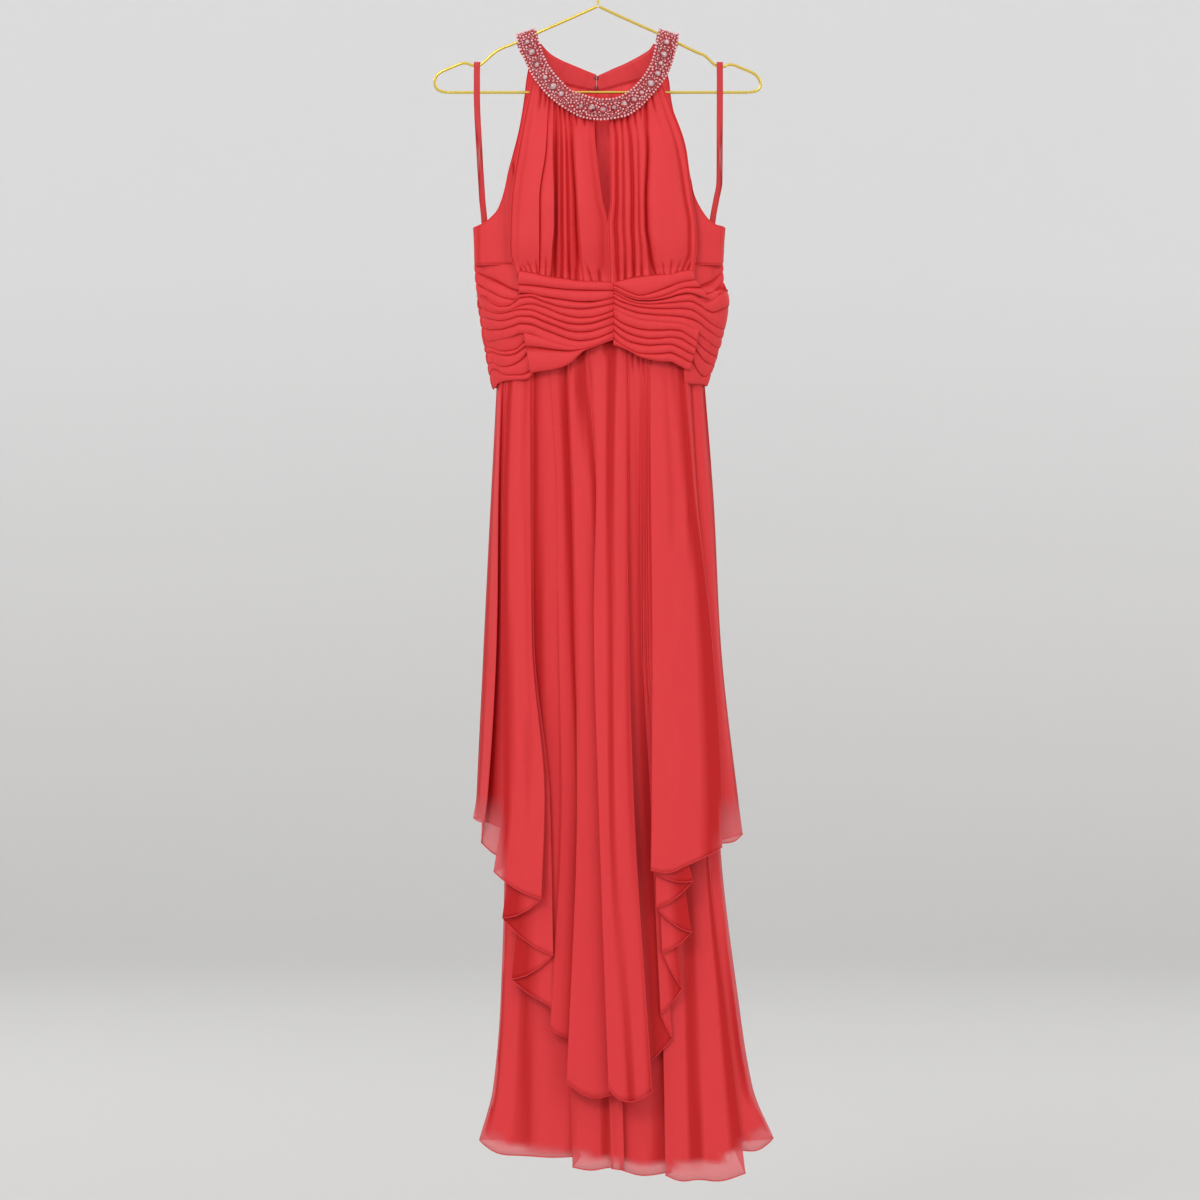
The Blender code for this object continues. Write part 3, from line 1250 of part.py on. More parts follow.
def main():
    for old in list(bpy.data.objects):
        bpy.data.objects.remove(old)
    chiffon = material("chiffon", CORAL, 0.7)
    satin = material("satin", CORAL_DARK, 0.4)
    beaded = material("beading", PEARL, 0.3)
    gold = material("gold_wire", GOLD, 0.2, 1.0)
    steel = material("fastening", STEEL, 0.4, 1.0)
    build_overlay(chiffon)
    build_underskirt(chiffon)
    build_lining(satin)
    build_bodice(chiffon, satin)
    build_waistband(chiffon)
    build_collar(beaded, satin, steel)
    ribbon("ribbon_left", RIBBON_LEFT, RIBBON_ARM_LEFT, satin)
    ribbon("ribbon_right", RIBBON_RIGHT, RIBBON_ARM_RIGHT, satin)
    build_hanger(gold)


main()
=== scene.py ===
# %% [markdown]
# # A high-low halter dress on a wire hanger
# The dress is a lined chiffon gown: a beaded collar carries a gathered bodice, a tucked band holds
# the waist, and a cascading overlay falls over a full-length underskirt. Each piece is built as a
# thin shell where its solid lies, from the same short tables of folds, so the cloth keeps its place
# while it gains finer folds, rolled hems and beads.

# %% Load the imported model
import math
import random
from collections import namedtuple

import bpy
import numpy as np
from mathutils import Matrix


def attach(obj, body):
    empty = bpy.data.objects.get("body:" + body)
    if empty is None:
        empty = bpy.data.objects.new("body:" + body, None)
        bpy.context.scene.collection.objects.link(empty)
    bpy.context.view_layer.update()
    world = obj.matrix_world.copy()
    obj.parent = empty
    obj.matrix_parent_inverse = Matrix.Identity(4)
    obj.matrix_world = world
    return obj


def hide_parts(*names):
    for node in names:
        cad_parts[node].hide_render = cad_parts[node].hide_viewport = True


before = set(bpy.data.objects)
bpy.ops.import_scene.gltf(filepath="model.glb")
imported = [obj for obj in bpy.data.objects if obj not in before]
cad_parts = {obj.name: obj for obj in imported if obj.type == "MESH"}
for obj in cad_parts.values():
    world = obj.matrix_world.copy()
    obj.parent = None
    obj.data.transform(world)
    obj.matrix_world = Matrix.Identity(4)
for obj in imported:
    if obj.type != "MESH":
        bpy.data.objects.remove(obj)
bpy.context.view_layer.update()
print("nodes:", len(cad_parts))

# %% [markdown]
# ## Camera, light and backdrop
# The photograph is taken straight from the front with a long lens, so the camera stands six metres
# away and its lens is worked out from the picture's real width at the front of the cloth. The
# light is soft: one large panel high in front and to the left, a weaker one on the right, two
# behind that serve the views of the back, and a pale room that fills the shadows.

# %% Camera
MM = 0.001
HOOK_RISE = 0.075            # from the hanger's apex up to the origin
PICTURE_WIDTH = 1.56         # metres across the picture at the cloth's front
CLOTH_FRONT = 0.03
CAMERA_AWAY = 6.0
PICTURE_CENTRE = (0.0026, -0.851)
SENSOR = 36.0


def add_camera():
    data = bpy.data.cameras.new("camera")
    data.sensor_width = SENSOR
    data.lens = SENSOR * (CAMERA_AWAY - CLOTH_FRONT) / PICTURE_WIDTH
    camera = bpy.data.objects.new("camera", data)
    camera.location = (PICTURE_CENTRE[0], -CAMERA_AWAY, PICTURE_CENTRE[1])
    camera.rotation_euler = (math.radians(90), 0, 0)
    bpy.context.scene.collection.objects.link(camera)
    bpy.context.scene.camera = camera
    return camera


camera = add_camera()
print("lens: %.0f mm" % camera.data.lens)


# %% Colours and nodes
def colour(code):
    """An sRGB hex value as linear red, green, blue and alpha."""
    parts = [int(code[i:i + 2], 16) / 255 for i in (1, 3, 5)]
    linear = [p / 12.92 if p <= 0.04045 else ((p + 0.055) / 1.055) ** 2.4 for p in parts]
    return (*linear, 1.0)


def add(tree, kind, links=(), **settings):
    """A node with its settings; a link is (output socket, this node's input)."""
    node = tree.nodes.new(kind)
    for name, value in settings.items():
        if name.startswith("in_"):
            key = name[3:]
            node.inputs[int(key) if key.isdigit() else key.replace("_", " ")].default_value = value
        else:
            setattr(node, name, value)
    for output, name in links:
        tree.links.new(output, node.inputs[name])
    return node


def new_material(name):
    made = bpy.data.materials.new(name)
    made.use_nodes = True
    return made, made.node_tree, made.node_tree.nodes["Principled BSDF"]


# %% Lights
Panel = namedtuple("Panel", "name place size power")
PANELS = (
    Panel("key_panel", (-1.9, -4.9, 2.3), 1.8, 75.0),
    Panel("fill_panel", (2.9, -4.6, 0.4), 3.0, 18.0),
    Panel("back_left_panel", (-3.4, 4.2, 1.4), 2.2, 40.0),
    Panel("back_right_panel", (3.4, 4.0, 1.2), 2.6, 25.0),
)
DRESS_MIDDLE = np.array((0.0, 0.0, -0.8))


def add_panel(panel):
    """A round area light that faces the middle of the dress."""
    data = bpy.data.lights.new(panel.name, "AREA")
    data.shape = "DISK"
    data.size = panel.size
    data.energy = panel.power
    light = bpy.data.objects.new(panel.name, data)
    light.location = panel.place
    away = np.array(panel.place) - DRESS_MIDDLE
    tilt = math.atan2(math.hypot(away[0], away[1]), away[2])
    light.rotation_euler = (tilt, 0, math.atan2(away[1], away[0]) + math.pi / 2)
    bpy.context.scene.collection.objects.link(light)


for panel in PANELS:
    add_panel(panel)
print("lights:", len(PANELS))


# %% Floor and wall
ROOM_RADIUS = 8.5
COVE = 2.0                   # radius of the curve from the floor up to the wall
COVE_STEPS = 8
ROOM_SIDES = 64
FLOOR_DROP = 1.83            # the floor's distance below the origin
WALL_HEIGHT = 3.6
FLOOR_TONE = "#CBCBCA"
WALL_TONE = "#F0F0F1"
AIR_TONE = "#F2F1F0"
AIR_STRENGTH = 1.06


def room_mesh():
    """A round floor that curves up into a wall, seen from inside."""
    profile = [(0.0, 0.0), (ROOM_RADIUS - COVE, 0.0)]
    for step in range(1, COVE_STEPS + 1):
        turn = math.pi / 2 * step / COVE_STEPS
        profile.append((ROOM_RADIUS - COVE + COVE * math.sin(turn), COVE - COVE * math.cos(turn)))
    profile.append((ROOM_RADIUS, WALL_HEIGHT))
    points = [(0.0, 0.0, -FLOOR_DROP)]
    for reach, rise in profile[1:]:
        for k in range(ROOM_SIDES):
            turn = 2 * math.pi * k / ROOM_SIDES
            points.append((reach * math.cos(turn), reach * math.sin(turn), rise - FLOOR_DROP))
    faces = [(0, 1 + k, 1 + (k + 1) % ROOM_SIDES) for k in range(ROOM_SIDES)]
    for ring in range(len(profile) - 2):
        low, high = 1 + ring * ROOM_SIDES, 1 + (ring + 1) * ROOM_SIDES
        for k in range(ROOM_SIDES):
            after = (k + 1) % ROOM_SIDES
            faces.append((low + k, high + k, high + after, low + after))
    mesh = bpy.data.meshes.new("room")
    mesh.from_pydata(points, [], faces)
    mesh.shade_smooth()
    return mesh


def room_paint():
    """Matt white paint, which the floor shows a little greyer than the wall."""
    paint, tree, shader = new_material("matt_white_paint")
    place = add(tree, "ShaderNodeTexCoord").outputs["Object"]
    height = add(tree, "ShaderNodeSeparateXYZ", [(place, "Vector")])
    rise = add(tree, "ShaderNodeMapRange", [(height.outputs["Z"], "Value")],
               in_From_Min=-FLOOR_DROP, in_From_Max=-FLOOR_DROP + COVE)
    tone = add(tree, "ShaderNodeMix", [(rise.outputs[0], 0)], data_type="RGBA")
    tone.inputs[6].default_value = colour(FLOOR_TONE)
    tone.inputs[7].default_value = colour(WALL_TONE)
    tree.links.new(tone.outputs[2], shader.inputs["Base Color"])
    shader.inputs["Roughness"].default_value = 0.9
    return paint


def add_room():
    mesh = room_mesh()
    room = bpy.data.objects.new("room", mesh)
    bpy.context.scene.collection.objects.link(room)
    mesh.materials.append(room_paint())
    return room


def add_air():
    """The pale light that comes from everywhere."""
    world = bpy.data.worlds.new("pale_room")
    world.use_nodes = True
    air = world.node_tree.nodes["Background"]
    air.inputs["Color"].default_value = colour(AIR_TONE)
    air.inputs["Strength"].default_value = AIR_STRENGTH
    bpy.context.scene.world = world


room = add_room()
add_air()
bpy.context.scene.view_settings.view_transform = "Standard"
print("room: %d faces" % len(room.data.polygons))

# %% [markdown]
# ## Cloth and metal
# Polyester chiffon is a plain weave of hard-twisted yarn: matt, a little pebbly, and sheer where
# it is single. Its weave is finer than the picture can show, so it is drawn at 0.9 mm. The sheer
# attribute is 1 where one layer hangs alone over the wall, which lets the wall show and paints the
# cloth paler for the light that comes through it. The crease attribute paints shade into the
# hollows of the folds, in the deep red that red cloth gives its own shadows. Satin is smoother and
# shines along its folds. Inside the bodice a brighter copy of the satin with a weak painted glow
# stands for the light that comes through the back. All patterns read the cloth's own UV map, which
# is in metres, so they follow every fold.

# %% Chiffon and satin
WEAVE_MM = 0.9
CRINKLE_MM = 14.0
CRINKLE_STRETCH = 6          # a crinkle is so many times longer down the cloth than across it
# painted light: the paler red of a single layer with light coming through it
SHEER_THROUGH_LIGHT = "#F2666C"
SHEEN_TINT = "#F7A7A2"
# base is the cloth's own colour; shade and deep are painted shade for the crinkles' and the folds'
# hollows; the glow is painted light
Cloth = namedtuple("Cloth", "name base shade deep roughness sheen bump sheer_loss glow")
CLOTHS = (
    Cloth("polyester_chiffon", "#E53A3E", "#DE3338", "#BE0307", 0.62, 0.10, 0.25, 0.45, 0.0),
    Cloth("satin_lining", "#E63A3F", "#DA3036", "#B80408", 0.38, 0.10, 0.12, 0.0, 0.0),
    # A lit copy of the satin: its brighter base and painted glow stand for light through the back,
    # in the bodice's shade
    Cloth("satin_inside_painted_light", "#F0484D", "#C9272D", "#8F0307", 0.34, 0.10, 0.12, 0.0, 0.30),
    Cloth("beaded_satin", "#B3262F", "#A01F28", "#7A0208", 0.40, 0.05, 0.12, 0.0, 0.0),
    Cloth("satin_ribbon", "#D63A3D", "#CC3235", "#A3090E", 0.40, 0.10, 0.15, 0.0, 0.0),
)


def cloth_material(cloth):
    """A woven cloth: fine checks for its threads, long soft crinkles, and painted shade in hollows.
    """
    made, tree, shader = new_material(cloth.name)
    uv = add(tree, "ShaderNodeUVMap", uv_map="UVMap").outputs["UV"]
    threads = add(tree, "ShaderNodeMapping", [(uv, "Vector")], in_Scale=(1000 / WEAVE_MM,) * 3)
    weave = add(tree, "ShaderNodeTexChecker", [(threads.outputs["Vector"], "Vector")], in_Scale=1.0)
    long_way = (1000 / CRINKLE_MM, 1000 / (CRINKLE_MM * CRINKLE_STRETCH), 1.0)
    drawn = add(tree, "ShaderNodeMapping", [(uv, "Vector")], in_Scale=long_way)
    crinkle = add(tree, "ShaderNodeTexNoise", [(drawn.outputs["Vector"], "Vector")],
                  in_Scale=1.0, in_Detail=4.0, in_Roughness=0.55)
    # painted shade: where a crinkle's bump sinks, the cloth takes the darker shade colour
    tint = add(tree, "ShaderNodeMix", [(crinkle.outputs["Fac"], 0)], data_type="RGBA")
    tint.inputs[6].default_value = colour(cloth.shade)
    tint.inputs[7].default_value = colour(cloth.base)
    # painted shade: the hollows of the folds are mixed towards the deep colour
    fold = add(tree, "ShaderNodeAttribute", attribute_name="painted_crease_shade")
    dark = add(tree, "ShaderNodeMix", [(fold.outputs["Fac"], 0), (tint.outputs[2], 6)],
               data_type="RGBA")
    dark.inputs[7].default_value = colour(cloth.deep)
    finish = dark.outputs[2]
    if cloth.sheer_loss:
        sheer = add(tree, "ShaderNodeAttribute", attribute_name="sheer")
        solid = add(tree, "ShaderNodeMath", [(sheer.outputs["Fac"], 0)], operation="MULTIPLY_ADD",
                    in_1=-cloth.sheer_loss, in_2=1.0)
        tree.links.new(solid.outputs[0], shader.inputs["Alpha"])
        # painted light: a single layer is mixed towards a paler red for the light coming through
        # it, while alpha lets the wall show
        pale = add(tree, "ShaderNodeMix", [(sheer.outputs["Fac"], 0), (finish, 6)],
                   data_type="RGBA")
        pale.inputs[7].default_value = colour(SHEER_THROUGH_LIGHT)
        finish = pale.outputs[2]
    tree.links.new(finish, shader.inputs["Base Color"])
    soft = add(tree, "ShaderNodeBump", [(crinkle.outputs["Fac"], "Height")],
               in_Strength=cloth.bump, in_Distance=0.0012)
    fine = add(tree, "ShaderNodeBump",
               [(weave.outputs["Fac"], "Height"), (soft.outputs["Normal"], "Normal")],
               in_Strength=cloth.bump, in_Distance=0.00012)
    tree.links.new(fine.outputs["Normal"], shader.inputs["Normal"])
    shader.inputs["Roughness"].default_value = cloth.roughness
    shader.inputs["Sheen Weight"].default_value = cloth.sheen
    shader.inputs["Sheen Tint"].default_value = colour(SHEEN_TINT)
    shader.inputs["Specular IOR Level"].default_value = 0.3
    # painted light: the inside satin glows for the light that comes through the back
    if cloth.glow:
        tree.links.new(finish, shader.inputs["Emission Color"])
        shader.inputs["Emission Strength"].default_value = cloth.glow
    return made


chiffon, lining_satin, lit_inside_satin, beaded_satin, ribbon_satin = [
    cloth_material(cloth) for cloth in CLOTHS]
print("cloths:", [cloth.name for cloth in CLOTHS])


# %% Metal, glass and pearl
WIRE_WAVES = (90.0, 400.0, 400.0)    # waves in a metre along the bar and across it
GLASS_PALE = "#FFE3E4"
CLOUDS = 260.0               # clouds in a metre of glass
WEAR = 900.0                 # worn spots in a metre of steel


def gold_plate():
    """Gold-plated steel wire: bright, with the faint waves that drawing and bending leave."""
    made, tree, shader = new_material("gold_plated_wire")
    place = add(tree, "ShaderNodeTexCoord").outputs["Object"]
    drawn = add(tree, "ShaderNodeMapping", [(place, "Vector")], in_Scale=WIRE_WAVES)
    waves = add(tree, "ShaderNodeTexNoise", [(drawn.outputs["Vector"], "Vector")], in_Detail=3.0)
    dent = add(tree, "ShaderNodeBump", [(waves.outputs["Fac"], "Height")],
               in_Strength=0.18, in_Distance=0.0005)
    rough = add(tree, "ShaderNodeMapRange", [(waves.outputs["Fac"], "Value")],
                in_To_Min=0.12, in_To_Max=0.3)
    tree.links.new(rough.outputs[0], shader.inputs["Roughness"])
    tree.links.new(dent.outputs["Normal"], shader.inputs["Normal"])
    shader.inputs["Base Color"].default_value = colour("#E8CC62")
    shader.inputs["Metallic"].default_value = 1.0
    return made


def bead_glass(name, code, roughness, coat, metallic=0.0):
    """Glass beads under a clear coat: cloudy pearl, plain seed beads, or foil-backed stones."""
    made, tree, shader = new_material(name)
    place = add(tree, "ShaderNodeTexCoord").outputs["Object"]
    cloudy = add(tree, "ShaderNodeTexNoise", [(place, "Vector")], in_Scale=CLOUDS)
    tint = add(tree, "ShaderNodeMix", [(cloudy.outputs["Fac"], 0)], data_type="RGBA")
    tint.inputs[6].default_value = colour(code)
    tint.inputs[7].default_value = colour(GLASS_PALE)
    tree.links.new(tint.outputs[2], shader.inputs["Base Color"])
    shader.inputs["Roughness"].default_value = roughness
    shader.inputs["Coat Weight"].default_value = coat
    shader.inputs["Metallic"].default_value = metallic
    return made


def blackened_steel():
    """The hooks and eyes: blackened steel, rubbed to an uneven gloss."""
    made, tree, shader = new_material("blackened_steel")
    place = add(tree, "ShaderNodeTexCoord").outputs["Object"]
    worn = add(tree, "ShaderNodeTexNoise", [(place, "Vector")], in_Scale=WEAR)
    rough = add(tree, "ShaderNodeMapRange", [(worn.outputs["Fac"], "Value")],
                in_To_Min=0.25, in_To_Max=0.5)
    tree.links.new(rough.outputs[0], shader.inputs["Roughness"])
    shader.inputs["Base Color"].default_value = colour("#5B4C4E")
    shader.inputs["Metallic"].default_value = 1.0
    return made


gold = gold_plate()
pearl = bead_glass("dyed_glass_pearl", "#E0606C", 0.12, 0.9)
crystal = bead_glass("foiled_crystal", "#A87880", 0.04, 1.0, 0.9)
seed_bead = bead_glass("seed_bead", "#8E1420", 0.18, 0.5)
steel = blackened_steel()
print("materials:", len(bpy.data.materials))

# %% [markdown]
# ## How a piece of cloth is described
# A cloth simulation would hang folds of its own, and this dress has to hang in its own folds. So
# every row of a table is a fold's edge or crease, with its path down the cloth and how far the
# layers on its two sides stand out, and a rounded curve runs from fold to fold at every height.
# All table values are millimetres: x to the right of the hanger's middle, drop below its apex and
# depth in front of it.

# %% Names of the tables' columns
# A thread's name says what it is; into and out are how far the cloth stands out on its two sides
Thread = namedtuple("Thread", "name top_x top_drop xs end_x end_drop into out gather",
                    defaults=(0,))
Level = namedtuple("Level", "drop value")
Edge = namedtuple("Edge", "drop left right")
Station = namedtuple("Station", "inner_x inner_drop outer_x outer_drop depth")
HemPoint = namedtuple("HemPoint", "share drop")
Spot = namedtuple("Spot", "x drop")
Strand = namedtuple("Strand", "x drop depth turn")
Tuck = namedtuple("Tuck", "outer_x drops")
Gather = namedtuple("Gather", "x drop length lean")
BackRow = namedtuple("BackRow", "outer_x outer_drop inner_drop")


def rows_of(kind, rows):
    """Rows of plain numbers with their columns named."""
    return tuple(kind(*row) for row in rows)


# %% Curves
def smooth(knots, values, at):
    """Monotone cubic through the values at the knots, read at one place or many."""
    knots = np.asarray(knots, float)
    values = np.asarray(values, float)
    at = np.clip(np.asarray(at, float), knots[0], knots[-1])
    rise = np.diff(values) / np.diff(knots)
    slope = np.zeros_like(values)
    slope[0], slope[-1] = rise[0], rise[-1]
    same = rise[:-1] * rise[1:] > 0
    total = np.where(same, rise[:-1] + rise[1:], 1.0)
    slope[1:-1] = np.where(same, 2.0 * rise[:-1] * rise[1:] / total, 0.0)
    cell = np.clip(np.searchsorted(knots, at, side="right") - 1, 0, len(knots) - 2)
    width = knots[cell + 1] - knots[cell]
    t = (at - knots[cell]) / width
    return ((2 * t ** 3 - 3 * t ** 2 + 1) * values[cell]
            + (t ** 3 - 2 * t ** 2 + t) * width * slope[cell]
            + (3 * t ** 2 - 2 * t ** 3) * values[cell + 1]
            + (t ** 3 - t ** 2) * width * slope[cell + 1])


def level(table, drop):
    return smooth([row.drop for row in table], [row.value for row in table], drop)


def edge_pair(table, drop):
    drops = [row.drop for row in table]
    left = smooth(drops, [row.left for row in table], drop)
    right = smooth(drops, [row.right for row in table], drop)
    return left, right


def lens(table, x, drop, power):
    """1 on the centre line, falling round to 0 at the piece's two edges."""
    left, right = edge_pair(table, drop)
    reach = np.clip(np.abs(2 * x - left - right) / (right - left), 0, 1)
    return np.sqrt(1 - reach ** power)


def spline_weights(count, per_control):
    """Rows of weights that turn control curves into the columns of a rounded sheet."""
    places = [(0, 0.0)]
    for control in range(1, count - 1):
        places += [(control, (j + 0.5) / per_control) for j in range(per_control)]
    places.append((count - 1, 1.0))
    weights = np.zeros((len(places), count))
    for row, (control, t) in enumerate(places):
        before = max(control - 1, 0)
        after = min(control + 1, count - 1)
        weights[row, before] += 0.5 * (1 - t) ** 2
        weights[row, control] += 0.5 + t - t ** 2
        weights[row, after] += 0.5 * t ** 2
    return weights


def spread(xs, spacing):
    """The nearest places to these that keep their order and stay the spacing apart."""
    shift = spacing * np.arange(len(xs))
    pools = []
    for value in xs - shift:
        pools.append([value, 1])
        while len(pools) > 1 and pools[-2][0] > pools[-1][0]:
            value_b, count_b = pools.pop()
            value_a, count_a = pools.pop()
            count = count_a + count_b
            pools.append([(value_a * count_a + value_b * count_b) / count, count])
    return np.concatenate([np.full(count, value) for value, count in pools]) + shift


# %% From folds to a sheet
TINY = 1e-12                 # keeps a length of nothing from dividing
SPREAD = 0.7                 # distance between neighbouring folds where none lies on another
RELIEF = 1.35                # the thin cloth can fold this much deeper than its solid


def thread_sheet(threads, drops, rows, base, fold_share, gather_share=None, fold_start=None,
                 relief=1.0, per_control=6, crisp=1):
    """A sheet as an array of (column, row, [x, drop, depth]); crisp folds count twice."""
    places = np.linspace(0, 1, rows)
    xs, fall, sides, gathers, times = [], [], [], [], []
    for thread in threads:
        drop = thread.top_drop + places * (thread.end_drop - thread.top_drop)
        knots = (thread.top_drop, *drops, thread.end_drop)
        x = smooth(knots, (thread.top_x, *thread.xs, thread.end_x), drop)
        for side in (thread.into, thread.out)[:1 if thread.into == thread.out else 2]:
            xs.append(x)
            fall.append(drop)
            sides.append(side)
            gathers.append(thread.gather)
            times.append(1 if thread.into == thread.out else crisp)
    xs, fall = np.array(xs), np.array(fall)
    if fold_start is not None:
        apart = np.array([spread(xs[:, row], SPREAD) for row in range(rows)]).T
        apart[0], apart[-1] = xs[0], xs[-1]
        free = np.clip((fall - fold_start[0]) / (fold_start[1] - fold_start[0]), 0, 1)
        xs = apart + free * free * (3 - 2 * free) * (xs - apart)
    depth = base(xs, fall) + relief * np.array(sides)[:, None] * fold_share(fall)
    if gather_share is not None:
        depth = depth + relief * np.array(gathers)[:, None] * gather_share(fall)
    controls = np.repeat(np.stack([xs, fall, depth], axis=2), times, axis=0)
    return np.einsum("ck,krv->crv", spline_weights(len(controls), per_control), controls)


def metres(sheet):
    x, drop, depth = sheet[..., 0], sheet[..., 1], sheet[..., 2]
    return np.stack([x * MM, -depth * MM, -HOOK_RISE - drop * MM], axis=-1)


def sheet_normals(points):
    """Unit normals that face the viewer on a sheet seen from the front."""
    down = np.gradient(points, axis=1)
    steps = np.diff(points, axis=0)
    middle = down[1:] + down[:-1]
    steps = steps - middle * (steps[..., 2] / middle[..., 2])[..., None]
    steps /= np.linalg.norm(steps, axis=2, keepdims=True) + TINY
    along = np.concatenate([steps[:1], steps[1:] + steps[:-1], steps[-1:]])
    normals = np.cross(down, along)
    return normals / (np.linalg.norm(normals, axis=2, keepdims=True) + TINY)


def cloth_uv(points):
    """Metres along and down the cloth, so that a pattern keeps its real size."""
    across = np.linalg.norm(np.diff(points[:, points.shape[1] // 2], axis=0), axis=1)
    down = np.linalg.norm(np.diff(points, axis=1), axis=2).mean(axis=0)
    u = np.concatenate([[0], np.cumsum(across)])
    v = np.concatenate([[0], np.cumsum(down)])
    return np.stack(np.meshgrid(u, v, indexing="ij"), axis=-1)


# %% Objects and their faces
CHIFFON_THICK = 0.0005
SATIN_THICK = 0.0007
ROLL_RADIUS = 0.0007         # a rolled hem


def put(name, mesh, *materials):
    made = bpy.data.objects.new(name, mesh)
    for finish in materials:
        mesh.materials.append(finish)
    bpy.context.scene.collection.objects.link(made)
    return made


def bake(made):
    """The object's modifiers applied, as a plain mesh."""
    depsgraph = bpy.context.evaluated_depsgraph_get()
    mesh = bpy.data.meshes.new_from_object(made.evaluated_get(depsgraph))
    made.modifiers.clear()
    old = made.data
    made.data = mesh
    mesh.name = made.name
    if isinstance(old, bpy.types.Mesh):
        bpy.data.meshes.remove(old)
    return made


def grid_faces(columns, rows, faces_back):
    place = np.arange(columns * rows).reshape(columns, rows)
    a, b = place[:-1, :-1].ravel(), place[:-1, 1:].ravel()
    c, d = place[1:, 1:].ravel(), place[1:, :-1].ravel()
    return np.stack([a, d, c, b] if faces_back else [a, b, c, d], axis=1)


# %% Painted shade in the folds' hollows
# Painted shade in the hollows: a hollow is seen over so many points either side, when it is so
# deep, and is painted so dark
CreaseScale = namedtuple("CreaseScale", "reach deep dark")
CREASE_SHADE_SCALES = (
    CreaseScale(4, 0.0007, 0.9),
    CreaseScale(11, 0.0026, 0.15),
)


def crease_shading(points, faces_back, across):
    """Painted shade, 0 to 1, by how far each point lies behind its neighbours across the folds."""
    out = points[..., 1] * (1 if faces_back else -1)
    out = out if across else out.T
    behind = np.zeros_like(out)
    for reach, deep, dark in CREASE_SHADE_SCALES:
        padded = np.pad(out, ((reach, reach), (0, 0)), mode="edge")
        total = np.cumsum(np.pad(padded, ((1, 0), (0, 0))), axis=0)
        width = 2 * reach + 1
        hollow = np.clip(((total[width:] - total[:-width]) / width - out) / deep, 0, 1)
        behind = np.maximum(behind, hollow * dark)
    return behind if across else behind.T


# %% A thin shell of cloth
def cloth(name, grids, finish, thickness, faces_back=False, sheer=None, across=True,
          inside=None):
    """A piece of cloth from one or more grids of points in metres, closed by Solidify."""
    grids = [grids] if isinstance(grids, np.ndarray) else list(grids)
    points, quads, uvs, folds, start = [], [], [], [], 0
    for grid in grids:
        columns, rows = grid.shape[:2]
        points.append(grid.reshape(-1, 3))
        quads.append(grid_faces(columns, rows, faces_back) + start)
        uvs.append(cloth_uv(grid).reshape(-1, 2))
        folds.append(crease_shading(grid, faces_back, across).ravel())
        start += columns * rows
    mesh = bpy.data.meshes.new(name)
    mesh.from_pydata(np.concatenate(points).tolist(), [], np.concatenate(quads).tolist())
    layer = mesh.uv_layers.new(name="UVMap")
    corners = np.empty(len(mesh.loops), int)
    mesh.loops.foreach_get("vertex_index", corners)
    layer.uv.foreach_set("vector", np.concatenate(uvs)[corners].ravel())
    # painted shade for the hollows of the folds, and the share where the cloth is sheer
    known = {"painted_crease_shade": np.concatenate(folds)}
    if sheer is not None:
        known["sheer"] = sheer.ravel()
    for key, values in known.items():
        mesh.attributes.new(key, "FLOAT", "POINT").data.foreach_set("value", values)
    mesh.shade_smooth()
    made = put(name, mesh, finish, *([inside] if inside else []))
    shell = made.modifiers.new("thickness", "SOLIDIFY")
    shell.thickness = thickness
    shell.offset = 0.0
    shell.material_offset = 1 if inside else 0
    return bake(made)


# %% A piece's flat cut, and its place in the scene
def cut_of(grids):
    """The flat cut of a piece: its widest row, its longest column and its area."""
    across = down = area = 0.0
    for points in grids:
        across = max(across, np.linalg.norm(np.diff(points, axis=0), axis=2).sum(axis=0).max())
        down += np.linalg.norm(np.diff(points, axis=1), axis=2).sum(axis=1).max()
        one = np.cross(points[1:, 1:] - points[:-1, :-1], points[:-1, 1:] - points[1:, :-1])
        area += 0.5 * np.linalg.norm(one, axis=2).sum()
    return (round(float(across), 3), round(float(down), 3)), float(area)


LEAST_AREA = 0.31            # of its width times its length, for a cut with slanting edges


def sew_in(piece, grids, held, rests_on, material_slot, *nodes, with_pieces=()):
    """The piece's flat cut and area, printed; it is hung from the root and its solids are hidden.
    """
    flat, area = cut_of([grids] if isinstance(grids, np.ndarray) else grids)
    area = min(max(area, LEAST_AREA * flat[0] * flat[1]), flat[0] * flat[1])
    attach(piece, "root")
    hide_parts(*nodes)
    print("%s: cut %.3f x %.3f m, %.3f m2" % (piece.name, *flat, area))

# %% [markdown]
# ## Fine folds
# Real chiffon never hangs as smoothly as a curve. Shallow ripples run down it, 1 to 4 cm apart,
# up to a millimetre deep where it hangs free and weaker where it is gathered or stretched. They
# are added along the cloth's own normals, so they bend the surface and its outline, not only its
# shading.

# %% Ripples
Ripple = namedtuple("Ripple", "wave height drift")
HANGING_RIPPLES = rows_of(Ripple, (
    (37.0, 0.55, 1.3),
    (21.0, 0.35, 2.1),
    (11.0, 0.14, 3.0),
))
DRIFT_DOWN = 170.0           # millimetres down the cloth, over which a ripple wanders
DRIFT_STEP = 1.7
SWELL = 0.35                 # share of a ripple's height that comes and goes
SWELL_ACROSS = 53.0
SWELL_DOWN = 260.0
SWELL_STEP = 2.3
CALM_COLUMNS = 8             # beside a seam, where ripples die away


